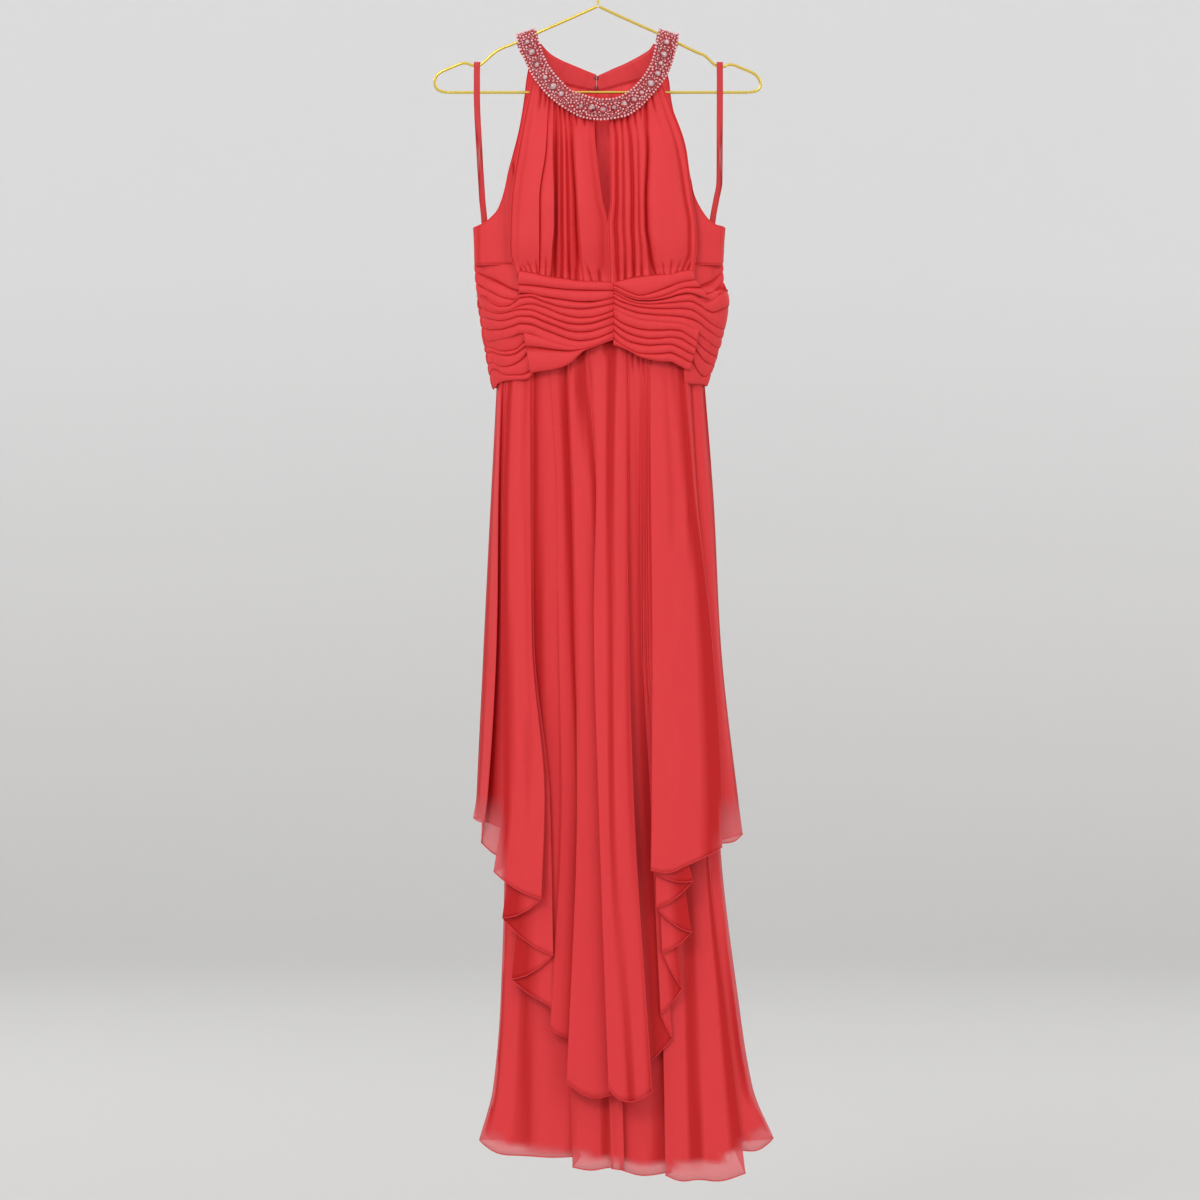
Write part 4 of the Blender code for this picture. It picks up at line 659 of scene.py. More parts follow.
def ripples(uv, phase=0.0):
    """Ripples across the cloth whose places drift slowly as they run down it."""
    u, v = uv[..., 0] / MM, uv[..., 1] / MM
    total = np.zeros_like(u)
    for number, ripple in enumerate(HANGING_RIPPLES):
        drift = ripple.drift * np.sin(v / DRIFT_DOWN + DRIFT_STEP * number + phase)
        turn = u / SWELL_ACROSS + v / SWELL_DOWN + SWELL_STEP * number + phase
        swell = 1 - SWELL + SWELL * np.sin(turn)
        total += ripple.height * swell * np.sin(2 * math.pi * u / ripple.wave + drift + phase)
    return total


def raised(points, height_mm):
    """The points moved out along their normals."""
    return points + sheet_normals(points) * (height_mm * MM)[..., None]


def rippled(points, strength, phase=0.0, calm=0):
    """The points with ripples, which die away over so many columns beside each seam."""
    height = ripples(cloth_uv(points), phase) * strength
    if calm:
        ends = np.minimum(np.arange(len(points)), np.arange(len(points))[::-1]) / calm
        height = height * np.clip(ends, 0, 1)[:, None]
    return raised(points, height)


# %% Short gathers at a seam
GATHER_DEEP = 2.6
GATHER_HALF_WIDTH = 1.5


def fade(distance, reach):
    """1 at the seam, falling to 0 at the reach."""
    share = np.clip(distance / reach, 0, 1)
    return (1 - share) ** 2 * (1 + 2 * share)


def gathered_in(sheet, gathers, upwards):
    """Short folds that start at a seam and die out over the cloth."""
    x, drop = sheet[..., 0], sheet[..., 1]
    sunk = np.zeros_like(x)
    for gather in gathers:
        away = (gather.drop - drop) if upwards else (drop - gather.drop)
        middle = gather.x + gather.lean * away
        width = GATHER_HALF_WIDTH * (1 + np.clip(away, 0, None) / gather.length)
        sunk += np.exp(-((x - middle) / width) ** 2) * fade(away, gather.length)
    return GATHER_DEEP * np.minimum(sunk, 1.0)

# %% [markdown]
# ## Rolled hems and bindings
# A chiffon edge is rolled and sewn, which leaves a round cord of cloth about 1.4 mm thick. It
# could be folded out of the sheet itself, but that takes many narrow faces. A node tree that runs
# a circle along the edge's points gives the same roll, and later the hanger's wire as well.

# %% Rolled hems and bindings
def pipe_tree():
    """Geometry nodes that run a round roll along a line of points."""
    tree = bpy.data.node_groups.new("rolled_edge", "GeometryNodeTree")
    tree.interface.new_socket("Line", in_out="INPUT", socket_type="NodeSocketGeometry")
    radius = tree.interface.new_socket("Radius", in_out="INPUT", socket_type="NodeSocketFloat")
    sides = tree.interface.new_socket("Sides", in_out="INPUT", socket_type="NodeSocketInt")
    finish = tree.interface.new_socket("Finish", in_out="INPUT", socket_type="NodeSocketMaterial")
    tree.interface.new_socket("Roll", in_out="OUTPUT", socket_type="NodeSocketGeometry")
    start = tree.nodes.new("NodeGroupInput")
    line = add(tree, "GeometryNodeMeshToCurve", [(start.outputs["Line"], "Mesh")])
    ring = add(tree, "GeometryNodeCurvePrimitiveCircle",
               [(start.outputs["Radius"], "Radius"), (start.outputs["Sides"], "Resolution")])
    roll = add(tree, "GeometryNodeCurveToMesh",
               [(line.outputs["Curve"], "Curve"), (ring.outputs["Curve"], "Profile Curve")])
    roll.inputs["Fill Caps"].default_value = True
    soft = add(tree, "GeometryNodeSetShadeSmooth", [(roll.outputs["Mesh"], "Geometry")])
    plain = add(tree, "GeometryNodeRealizeInstances", [(soft.outputs["Geometry"], "Geometry")])
    dyed = add(tree, "GeometryNodeSetMaterial",
               [(plain.outputs["Geometry"], "Geometry"), (start.outputs["Finish"], "Material")])
    add(tree, "NodeGroupOutput", [(dyed.outputs["Geometry"], "Roll")])
    return tree, radius.identifier, sides.identifier, finish.identifier


PIPE, PIPE_RADIUS, PIPE_SIDES, PIPE_FINISH = pipe_tree()
LEAST_STEP = 1e-5            # metres between two points of a line
HEM_SIDES = 6
WIRE_SIDES = 16


def roll_along(name, line, radius, finish, sides=HEM_SIDES):
    """A roll of cloth or thread along a line of points."""
    line = np.asarray(line)
    keep = np.concatenate([[True], np.linalg.norm(np.diff(line, axis=0), axis=1) > LEAST_STEP])
    line = line[keep]
    mesh = bpy.data.meshes.new(name)
    mesh.from_pydata(line.tolist(), [(i, i + 1) for i in range(len(line) - 1)], [])
    made = put(name, mesh)
    turn = made.modifiers.new("roll", "NODES")
    turn.node_group = PIPE
    turn[PIPE_RADIUS] = radius
    turn[PIPE_SIDES] = sides
    turn[PIPE_FINISH] = finish
    bake(made)
    layer = made.data.uv_layers.get("UVMap") or made.data.uv_layers.new(name="UVMap")
    places = np.empty(len(made.data.vertices) * 3)
    made.data.vertices.foreach_get("co", places)
    places = places.reshape(-1, 3)
    corners = np.empty(len(made.data.loops), int)
    made.data.loops.foreach_get("vertex_index", corners)
    layer.uv.foreach_set("vector", places[corners][:, (0, 2)].ravel())
    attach(made, "root")
    return made

# %% [markdown]
# ## Skirt lining and underskirt
# Three skirts hang inside one another from the waist seam. The lining is plain satin and stops a
# little above the underskirt's hem, so the last centimetre or two of chiffon is sheer there. The
# underskirt's front follows the folds in its table; its back and the lining hang in soft, uneven
# folds.

# %% Skirt tables
UNDERSKIRT_DROPS = (828, 1101, 1296, 1413)
UNDERSKIRT_FRONT = rows_of(Thread, (
    ("seam_left", -124, 480, (-126, -122, -127, -137), -155, 1481, 0, 0),
    ("side_turn_left", -122, 480, (-125, -121, -125, -135), -151, 1485, 0, 0),
    ("ridge_a", -112, 474, (-112, -109, -114, -120), -130, 1498, 3, 3),
    ("valley_a", -96, 469, (-94, -88, -91, -94), -96, 1498, -3, -3),
    ("ridge_b", -75, 464, (-70, -66, -64, -62), -61, 1500, 2, 2),
    ("under_b", -52, 459, (-44, -39, -32, -29), -23, 1498, -4, 1),
    ("edge_c", -49, 458, (-43, -40, -36, -35), -33, 1511, 4, 7),
    ("ridge_c", -30, 451, (-26, -21, -16, -13), -10, 1516, 7, 7),
    ("valley_c", -13, 446, (-8, 0, 6, 9), 10, 1512, 4, 4),
    ("under_d", -6, 443, (1, 9, 15, 18), 20, 1511, 4, 7.5),
    ("edge_d", -4, 443, (3, 8, 13, 15), 18, 1512, 9, 12),
    ("edge_d_right", 10, 441, (17, 23, 29, 31), 34, 1514, 13, 9),
    ("under_e", 14, 441, (18, 22, 25, 27), 28, 1514, 5, 2),
    ("ridge_e", 31, 446, (36, 42, 47, 49), 52, 1522, 4, 4),
    ("valley_e", 47, 451, (55, 60, 65, 68), 70, 1522, 1, 1),
    ("under_f", 62, 456, (73, 81, 88, 92), 96, 1517, 1, 6),
    ("edge_f", 62, 456, (70, 75, 83, 86), 88, 1521, 7, 11),
    ("ridge_f", 75, 462, (86, 96, 103, 105), 108, 1530, 12, 12),
    ("valley_f", 91, 467, (104, 116, 122, 126), 130, 1526, 7, 7),
    ("ridge_g", 107, 472, (122, 135, 148, 153), 159, 1531, 12, 12),
    ("edge_g", 118, 477, (135, 147, 165, 179), 191, 1520, 10, 5),
    ("under_g", 120, 478, (134, 142, 156, 168), 178, 1490, 2, -1),
    ("ridge_h", 125, 480, (140, 153, 176, 192), 207, 1495, 0, 0),
    ("side_turn_right", 130, 480, (146, 158, 180, 199), 226, 1482, 0, 0),
    ("seam_right", 131, 480, (147, 160, 183, 202), 229, 1478, 0, 0),
))
UNDERSKIRT_EDGE = rows_of(Edge, (
    (438, -124, 131), (828, -126, 147), (1101, -122, 160), (1296, -127, 183), (1413, -137, 202),
    (1481, -155, 229), (1537, -166, 250),
))
UNDERSKIRT_BASE = rows_of(Level, (
    (438, 19), (828, 25), (1101, 30), (1296, 33.5), (1478, 43), (1537, 45),
))
UNDERSKIRT_SHARE = rows_of(Level, (
    (438, 0.1), (828, 0.25), (1101, 0.5), (1296, 0.75), (1478, 1.0), (1537, 1.0),
))
UNDERSKIRT_FOLD_START = (1050, 1330)
UNDERSKIRT_RELIEF = 0.95
UNDERSKIRT_ROWS = 110
BACK_TOP = 478
BACK_ROWS = 90
UNDERSKIRT_BACK_FOLDS = 17
UNDERSKIRT_BACK_HEM = 1480
UNDERSKIRT_BACK_DIP = 12
UNDERSKIRT_BACK_SHARE = 0.7
UNDERSKIRT_BACK_RELIEF = 4.0


# %% Lining tables
LINING_EDGE = rows_of(Edge, (
    (438, -117, 125), (828, -120, 140), (1101, -114, 152), (1296, -120, 173), (1413, -129, 192),
    (1473, -142, 216), (1517, -147, 221),
))
LINING_BASE = rows_of(Level, (
    (438, 10), (828, 13), (1101, 17), (1296, 21), (1511, 27),
))
LINING_HEM = rows_of(HemPoint, (
    (0.0, 1469), (0.15, 1486), (0.32, 1490), (0.45, 1499), (0.6, 1505), (0.8, 1503),
    (0.92, 1478), (1.0, 1462),
))
LINING_ROWS = 60
LINING_FRONT_FOLDS = 13
LINING_BACK_FOLDS = 11
LINING_BACK_DIP = 8
LINING_BACK_SHARE = 0.75
LINING_RELIEF = 1.5


# %% Plain panels with soft folds
FOLD_WANDER = 0.3            # of a fold's width, sideways
WANDER_TURN = 2.1
WANDER_START = 0.6
TROUGH_SHARE = 0.8           # of a ridge's height
HEIGHT_VARIES = 0.25
HEIGHT_TURN = 1.7
SEAM = 0.15                  # half the gap between a front and a back at a side seam


def even_threads(edges, drops, count, hem, relief):
    """Soft folds over a plain panel, spaced and raised unevenly."""
    threads = []
    for k in range(count):
        share = k / (count - 1)
        if 1 < k < count - 2:
            share += FOLD_WANDER * math.sin(WANDER_TURN * k + WANDER_START) / (count - 1)
        end_drop = float(hem(share))
        xs = []
        for drop in (BACK_TOP, *drops, end_drop):
            left, right = edge_pair(edges, drop)
            xs.append(float(left + share * (right - left)))
        side = 0.0
        if 0 < k < count - 1:
            height = 1 - HEIGHT_VARIES + HEIGHT_VARIES * math.sin(HEIGHT_TURN * k)
            side = relief * (1 if k % 2 else -TROUGH_SHARE) * height
        threads.append(Thread("fold", xs[0], BACK_TOP, tuple(xs[1:-1]), xs[-1], end_drop,
                              side, side))
    return threads


def set_seams(sheet, depth, left=True, right=True):
    """The side seams lie in the hanger's plane, half a gap to this sheet's side of it."""
    if left:
        sheet[0, :, 2] = depth
    if right:
        sheet[-1, :, 2] = depth
    return sheet


# %% Lining
def under_share(drop):
    return level(UNDERSKIRT_SHARE, drop)


def lining_base(x, drop):
    return level(LINING_BASE, drop) * lens(LINING_EDGE, x, drop, 2)


def lining_back_base(x, drop):
    return -LINING_BACK_SHARE * lining_base(x, drop)


def lining_hem(share):
    return smooth([row.share for row in LINING_HEM], [row.drop for row in LINING_HEM], share)


def lining_back_hem(share):
    ends = lining_hem(0) + (lining_hem(1) - lining_hem(0)) * share
    return ends + LINING_BACK_DIP * math.sin(math.pi * share)


def make_lining():
    for name, folds, hem, base, back in (
            ("lining_front", LINING_FRONT_FOLDS, lining_hem, lining_base, False),
            ("lining_back", LINING_BACK_FOLDS, lining_back_hem, lining_back_base, True)):
        threads = even_threads(LINING_EDGE, UNDERSKIRT_DROPS, folds, hem, LINING_RELIEF)
        sheet = thread_sheet(threads, UNDERSKIRT_DROPS, LINING_ROWS, base, under_share)
        sheet = set_seams(sheet, -SEAM if back else SEAM)
        points = rippled(metres(sheet), strength=0.4, calm=CALM_COLUMNS)
        piece = cloth(name + "_cloth", points, lining_satin, SATIN_THICK, back)
        roll = roll_along(name + "_hem", points[:, -1], ROLL_RADIUS, lining_satin)
        sew_in(piece, points, "hung", ["waistband_" + ("back" if back else "front_left")],
               "satin", name, with_pieces=[roll])


make_lining()


# %% Underskirt
def underskirt_base(x, drop):
    return level(UNDERSKIRT_BASE, drop) * lens(UNDERSKIRT_EDGE, x, drop, 2)


def underskirt_back_base(x, drop):
    return -UNDERSKIRT_BACK_SHARE * underskirt_base(x, drop)


def underskirt_back_hem(share):
    return UNDERSKIRT_BACK_HEM + UNDERSKIRT_BACK_DIP * math.sin(math.pi * share)


def below_lining(sheet, reach=5.0):
    """1 where the underskirt hangs below the lining, 0 where the lining backs it."""
    left, right = edge_pair(LINING_EDGE, sheet[..., 1])
    share = np.clip((sheet[..., 0] - left) / (right - left), 0, 1)
    hem = lining_hem(share)
    outside = (sheet[..., 0] < left - reach) | (sheet[..., 0] > right + reach)
    return np.maximum(np.clip((sheet[..., 1] - hem) / reach, 0, 1), outside * 1.0)


def make_underskirt():
    sheet = thread_sheet(UNDERSKIRT_FRONT, UNDERSKIRT_DROPS, UNDERSKIRT_ROWS, underskirt_base,
                         under_share, fold_start=UNDERSKIRT_FOLD_START,
                         relief=UNDERSKIRT_RELIEF, per_control=4, crisp=2)
    sheet = set_seams(sheet, SEAM)
    points = rippled(metres(sheet), strength=0.7, phase=0.4, calm=CALM_COLUMNS)
    piece = cloth("underskirt_front_cloth", points, chiffon, CHIFFON_THICK,
                  sheer=below_lining(sheet))
    roll = roll_along("underskirt_front_hem", points[:, -1], ROLL_RADIUS, chiffon)
    sew_in(piece, points, "gathered", ["waistband_front_left"], "chiffon", "underskirt_front",
           with_pieces=[roll])

    threads = even_threads(UNDERSKIRT_EDGE, UNDERSKIRT_DROPS, UNDERSKIRT_BACK_FOLDS,
                           underskirt_back_hem, UNDERSKIRT_BACK_RELIEF * RELIEF)
    sheet = thread_sheet(threads, UNDERSKIRT_DROPS, BACK_ROWS, underskirt_back_base, under_share)
    sheet = set_seams(sheet, -SEAM)
    points = rippled(metres(sheet), strength=0.8, phase=1.9, calm=CALM_COLUMNS)
    piece = cloth("underskirt_back_cloth", points, chiffon, CHIFFON_THICK, True,
                  sheer=below_lining(sheet))
    roll = roll_along("underskirt_back_hem", points[:, -1], ROLL_RADIUS, chiffon)
    sew_in(piece, points, "gathered", ["waistband_back"], "chiffon", "underskirt_back",
           with_pieces=[roll])


make_underskirt()

# %% [markdown]
# ## Overlay
# The overlay is what gives the dress its high-low line: it ends high at the side seams and falls
# to a long point in front. Its edge doubles back at every fold, which makes the zigzag cascade on
# both sides. In the table the threads' places simply turn back on themselves there, so one sheet
# makes all the layers. Where one layer hangs beside the underskirt the wall shows through it.

# %% Overlay tables
OVERLAY_DROPS = (646, 828, 1036)
OVERLAY_EDGE = rows_of(Edge, (
    (464, -131, 138), (497, -132, 138), (646, -140, 151), (828, -149, 160), (1036, -159, 183),
    (1166, -165, 198), (1426, -172, 211),
))
OVERLAY_BASE = rows_of(Level, (
    (425, 34), (516, 38), (646, 43), (828, 48), (1036, 54), (1231, 57), (1426, 60),
))
GATHER_SHARE = rows_of(Level, (
    (425, 1.1), (490, 1.0), (620, 0.55), (828, 0.2), (1062, 0.0), (1556, 0.0),
))
OVERLAY_FOLD_START = (560, 800)
OVERLAY_ROWS = 120
OVERLAY_BACK_FOLDS = 21
OVERLAY_BACK_HEM = 1060
OVERLAY_BACK_DIP = 40
OVERLAY_BACK_RISE = 22
OVERLAY_BACK_SHARE = 0.62
OVERLAY_BACK_RELIEF = 5.0
OVERLAY_FRONT = rows_of(Thread, (
    ("seam_left", -131, 482, (-140, -149, -159), -163, 1060, 0, 0),
    ("side_turn_left", -129, 482, (-138, -147, -157), -161, 1061, 0, 0),
    ("band_left", -126, 481, (-129, -132, -144), -148, 1065, 8, 4),
    ("tuck_left", -124, 481, (-130, -136, -150), -152, 1092, -2, -5),
    ("under_left", -121, 480, (-122, -121, -116), -114, 1114, -5, -1),
    ("front_left_a", -117, 480, (-126, -125, -123), -135, 1128, 5, 12),
    ("front_left_b", -105, 476, (-109, -107, -104), -109, 1140, 13, 13, 1),
    ("crease_left", -93, 473, (-93, -90, -84), -88, 1152, 11.5, 11.5, -1),
    ("edge_a", -88, 469, (-88, -86, -69), -73, 1162, 15, 9.5, 1),
    ("back_a", -87, 469, (-86, -88, -105), -124, 1188, 7.5, 2.5),
    ("edge_b", -86, 468, (-85, -83, -62), -58, 1236, 1.5, -1.5),
    ("back_b", -84, 468, (-84, -84, -91), -112, 1268, -2, -5),
    ("panel_c", -65, 467, (-58, -58, -53), -55, 1300, -6, -6, 1),
    ("edge_c", -62, 465, (-53, -52, -49), -62, 1331, -4, -3, 1),
    ("under_c", -42, 463, (-35, -31, -21), -31, 1343, -8, -5, -2),
    ("edge_d", -39, 462, (-32, -29, -27), -40, 1400, -1, 5, 2),
    ("gather_d", -26, 455, (-16, -13, -10), -10, 1412, 6, 6, -2),
    ("under_d", -13, 448, (3, 8, 16), 31, 1409, 3, 9),
    ("edge_e", -15, 445, (-6, -5, 1), 14, 1404, 12, 17, -1),
    ("gather_e", 3, 438, (5, 6, 9), 23, 1414, 18, 18, 2),
    ("crease_e", 20, 434, (15, 17, 19), 42, 1416, 15.3, 15.3, -3),
    ("ridge_e", 29, 438, (27, 29, 32), 55, 1414, 16, 16, 1),
    ("edge_e_right", 39, 446, (38, 40, 46), 70, 1410, 13, 6, -1),
    ("under_e", 40, 447, (40, 39, 31), 47, 1391, 2, -4),
    ("ridge_f", 47, 451, (47, 49, 55), 74, 1361, -5, -5),
    ("edge_f", 56, 454, (55, 56, 74), 96, 1344, -5, -3.5),
    ("under_f", 58, 455, (58, 58, 68), 81, 1312, -3.5, -1),
    ("edge_g", 60, 456, (60, 61, 83), 109, 1279, -1, 1.5),
    ("edge_h", 62, 458, (62, 63, 75), 83, 1232, 1.5, 5),
    ("edge_h_right", 64, 458, (64, 65, 96), 121, 1206, 5, 9),
    ("under_h", 65, 459, (65, 66, 74), 75, 1173, 9, 13),
    ("edge_i", 66, 459, (67, 68, 96), 123, 1139, 13, 17),
    ("edge_j", 68, 459, (69, 70, 69), 68, 1124, 17, 22),
    ("ridge_j", 86, 462, (95, 98, 100), 96, 1121, 21, 21),
    ("valley_j", 101, 465, (112, 114, 116), 114, 1108, 19.5, 19.5),
    ("edge_j_right", 114, 469, (127, 148, 160), 161, 1096, 18, 10, 2),
    ("under_j", 122, 477, (131, 144, 152), 153, 1091, 4, 0, -1),
    ("band_right", 129, 480, (136, 151, 164), 168, 1087, 2, 2),
    ("ridge_right", 133, 481, (143, 155, 174), 179, 1086, 4, 4),
    ("side_turn_right", 136, 482, (150, 159, 181), 187, 1082, 0, 0),
    ("seam_right", 137, 482, (151, 160, 183), 189, 1082, 0, 0),
))
FOLD_SHARE = rows_of(Level, (
    (438, 0.03), (490, 0.14), (542, 0.32), (646, 0.5), (828, 0.66), (1036, 0.9), (1166, 1.0),
    (1556, 1.0),
))
OVERLAY_GATHERS = rows_of(Gather, (
    (-37, 462, 50, 0.05), (-25, 455, 14, 0.0), (-20, 451, 26, 0.03), (-5, 447, 18, -0.02),
    (9, 445, 40, 0.03), (15, 442, 34, 0.1), (23, 447, 30, -0.02), (45, 456, 30, 0.0),
    (53, 460, 26, 0.02), (59, 463, 44, 0.03), (69, 464, 16, 0.04),
))
# Beyond these places, left and right, one layer of the overlay hangs clear of the underskirt
BESIDE_UNDERSKIRT = rows_of(Edge, (
    (1056, -121, 156), (1101, -120, 153), (1153, -118, 153), (1205, -140, 185),
))


# %% Overlay
def overlay_base(x, drop):
    return level(OVERLAY_BASE, drop) * lens(OVERLAY_EDGE, x, drop, 2)


def overlay_back_base(x, drop):
    return -OVERLAY_BACK_SHARE * overlay_base(x, drop)


def overlay_back_hem(share):
    return (OVERLAY_BACK_HEM + OVERLAY_BACK_DIP * math.sin(math.pi * share)
            + OVERLAY_BACK_RISE * share)


def fold_share(drop):
    return level(FOLD_SHARE, drop)


def gather_share(drop):
    return level(GATHER_SHARE, drop)


HEM_SAG = 0.13               # of a hem's run from fold to fold
HEM_SAG_MOST = 9.0
HEM_SAG_REACH = 120.0
HEM_SAG_RUN = 8.0            # a shorter run hangs straight
SHEER_FADE = 25.0            # how far down the overlay turns sheer


def sagging(sheet):
    """Between its folds the hem hangs in shallow curves, which fade out up the cloth."""
    x = sheet[:, -1, 0]
    turns = np.flatnonzero(np.diff(np.sign(np.diff(x)))) + 1
    sag = np.zeros(len(x))
    for first, last in zip([0, *turns], [*turns, len(x) - 1]):
        run = x[last] - x[first]
        if abs(run) > HEM_SAG_RUN:
            share = (x[first:last + 1] - x[first]) / run
            sag[first:last + 1] = min(HEM_SAG * abs(run), HEM_SAG_MOST) * 4 * share * (1 - share)
    near = np.clip(1 - (sheet[:, -1:, 1] - sheet[..., 1]) / HEM_SAG_REACH, 0, 1) ** 2
    sheet[..., 1] += sag[:, None] * near
    return sheet


def beside_underskirt(sheet, start, reach=8.0):
    """1 where the overlay hangs alone beside the underskirt, below the start."""
    left, right = edge_pair(BESIDE_UNDERSKIRT, sheet[..., 1])
    out = np.maximum(left - sheet[..., 0], sheet[..., 0] - right)
    return np.clip(out / reach, 0, 1) * np.clip((sheet[..., 1] - start) / SHEER_FADE, 0, 1)


def make_overlay():
    sheet = thread_sheet(OVERLAY_FRONT, OVERLAY_DROPS, OVERLAY_ROWS, overlay_base, fold_share,
                         gather_share, OVERLAY_FOLD_START, RELIEF, per_control=3, crisp=2)
    sheet = sagging(set_seams(sheet, SEAM))
    sheet[..., 2] -= gathered_in(sheet, OVERLAY_GATHERS, False)
    points = rippled(metres(sheet), strength=0.8, phase=0.9, calm=CALM_COLUMNS)
    piece = cloth("overlay_front_cloth", points, chiffon, CHIFFON_THICK,
                  sheer=beside_underskirt(sheet, 1030.0))
    roll = roll_along("overlay_front_hem", points[:, -1], ROLL_RADIUS, chiffon)
    sew_in(piece, points, "gathered", ["waistband_front_left"], "chiffon", "overlay_front",
           with_pieces=[roll])

    threads = even_threads(OVERLAY_EDGE, OVERLAY_DROPS, OVERLAY_BACK_FOLDS, overlay_back_hem,
                           OVERLAY_BACK_RELIEF * RELIEF)
    sheet = thread_sheet(threads, OVERLAY_DROPS, BACK_ROWS, overlay_back_base, fold_share)
    sheet = set_seams(sheet, -SEAM)
    points = rippled(metres(sheet), strength=0.8, phase=2.7, calm=CALM_COLUMNS)
    piece = cloth("overlay_back_cloth", points, chiffon, CHIFFON_THICK, True,
                  sheer=beside_underskirt(sheet, 1040.0))
    roll = roll_along("overlay_back_hem", points[:, -1], ROLL_RADIUS, chiffon)
    sew_in(piece, points, "gathered", ["waistband_back"], "chiffon", "overlay_back",
           with_pieces=[roll])


make_overlay()

# %% [markdown]
# ## Waistband
# The band is chiffon laid in narrow tucks that lap downwards and are caught at the centre front
# and in the side seams. Each tuck is a soft roll: it rises quickly from under the one above,
# stands proud along its lower edge and turns back under. Its front pieces end in free flaps.

# %% Waistband at the sides
SIDE_LEFT_STATIONS = (-140.5, -123.5, -108, -93)
SIDE_LEFT_TUCKS = rows_of(Tuck, (
    (-161, (335.5, 336, 336.5, 336.5, 336.5)),
    (-160.5, (347, 355, 364, 372, 375.5)),
    (-159.5, (361.5, 373, 382, 385, 385)),
    (-157.5, (375.5, 387.5, 394, 391.5, 390)),
    (-154, (390, 398.5, 403, 399, 398)),
))
SIDE_RIGHT_STATIONS = (117, 132.5, 148)
SIDE_RIGHT_TUCKS = rows_of(Tuck, (
    (162.5, (335.5, 336.5, 336.5, 336)),
    (163, (347, 373, 366.5, 359)),
    (163.5, (360, 383.5, 379.5, 374.5)),
    (169, (374.5, 391.5, 390, 386)),
    (170, (387.5, 400.5, 400.5, 396.5)),
))
# Where the lines between the back's tucks end in the two side seams
SeamEnds = namedtuple("SeamEnds", "left_x left_drop right_x right_drop")
WAIST_SEAMS = rows_of(SeamEnds, (
    (-161, 335.5, 162.5, 335.5),
    (-160.5, 347, 163, 347),
    (-159.5, 361.5, 163.5, 360),
    (-157.5, 375.5, 169, 374.5),
    (-154, 390, 170, 387.5),
    (-151.5, 404.5, 167.5, 401.5),
    (-149.5, 418.5, 165, 416.5),
    (-147, 434, 162.5, 431.5),
    (-145, 451, 157.5, 448.5),
    (-143, 466.5, 153.5, 464),
    (-139, 482.5, 148, 479.5),
    (-136.5, 499, 142.5, 496.5),
))
WAIST_EDGE = rows_of(Edge, (
    (334, -161, 162.5), (370.5, -159, 163.5), (375.5, -157.5, 169.5), (387.5, -154.5, 170),
    (412, -151, 166.5), (442, -146, 160), (470.5, -142.5, 151.5), (499, -136.5, 142.5),
))
EDGE_CLEAR = 5.0
WAIST_BASE = 46.0
WAIST_BACK_BASE = 27.0
WAIST_STEP_SHARE = 0.35
WAIST_SIDE_STEP = rows_of(Level, (
    (327.5, 14.0), (357.5, 13.0), (386, 5.0), (418.5, 4.4), (444.5, 5.5), (503, 6.0),
))
WAIST_BACK_TOP = 337.0
WAIST_BACK_BOTTOM = 486.0


# %% Tucks of the front, left
# Each row is the line under a tuck: its outer end, then its drops at the outer end and stations
TOP_LEFT_STATIONS = (-88.5, -75.5, -62.5, -49.5, -36.5, -23.5, -4, 20)
TOP_LEFT = rows_of(Tuck, (
    (-102.5, (348, 350.5, 353.5, 356, 358, 360, 362, 362.5, 364)),
    (-104, (366, 367, 368.5, 370.5, 372, 373, 373.5, 374, 374)),
    (-102.5, (377, 378, 381, 383, 385, 387, 388.5, 388, 383.5)),
))
# The tucks that run on from the front pieces over the side pieces to the seams
RUN_LEFT_STATIONS = (
    -147, -138, -127.5, -117, -109, -101.5, -88.5, -69, -49.5, -36.5, -23.5, -10.5, 2.5, 20)
RUN_LEFT = rows_of(Tuck, (
    (-158.5, (379.5, 383, 388, 392.5, 392, 387.5, 380, 378.5, 383, 386, 388, 389.5, 390,
              388, 383.5)),
    (-157.5, (380.5, 384, 389, 393.5, 393, 388.5, 383, 382, 389, 395, 397, 398, 397, 395,
              391)),
    (-157, (393.5, 396, 400, 401.5, 400.5, 398, 394, 391.5, 396, 404, 407.5, 409.5, 409,
            406.5, 400)),
    (-156.5, (394.5, 397, 401, 402.5, 401, 399.5, 398.5, 399, 406, 413.5, 417, 418, 417,
              413.5, 407.5)),
    (-154.5, (405.5, 407.5, 410, 412, 411, 408.5, 407, 407.5, 414.5, 422, 426.5, 428, 427,
              423.5, 417.5)),
    (-152.5, (419, 422, 423.5, 423.5, 421, 419, 416.5, 417.5, 425, 432.5, 437, 439, 438,
              434.5, 427)),
    (-150, (437.5, 438.5, 438, 436.5, 434.5, 432.5, 429.5, 430, 440, 447, 449, 451, 448,
            443.5, 437)),
))
FLAP_LEFT_STATIONS = (-75.5, -62.5, -49.5, -36.5, -26, -18, -8, 5, 20)
FLAP_LEFT = rows_of(Tuck, (
    (-97, (426.5, 433, 438, 442.5, 445, 447, 446.5, 444.5, 440, 434)),
    (-94, (446, 448, 450, 451.5, 452.5, 451.5, 450, 447, 442.5, 436)),
    (-87.5, (481.5, 479, 477.5, 474.5, 469, 459.5, 452.5, 448.5, 443.5, 438)),
))
LOW_LEFT_STATIONS = (-138, -131.5, -123.5, -115.5, -106.5, -97.5, -89.5, -82)
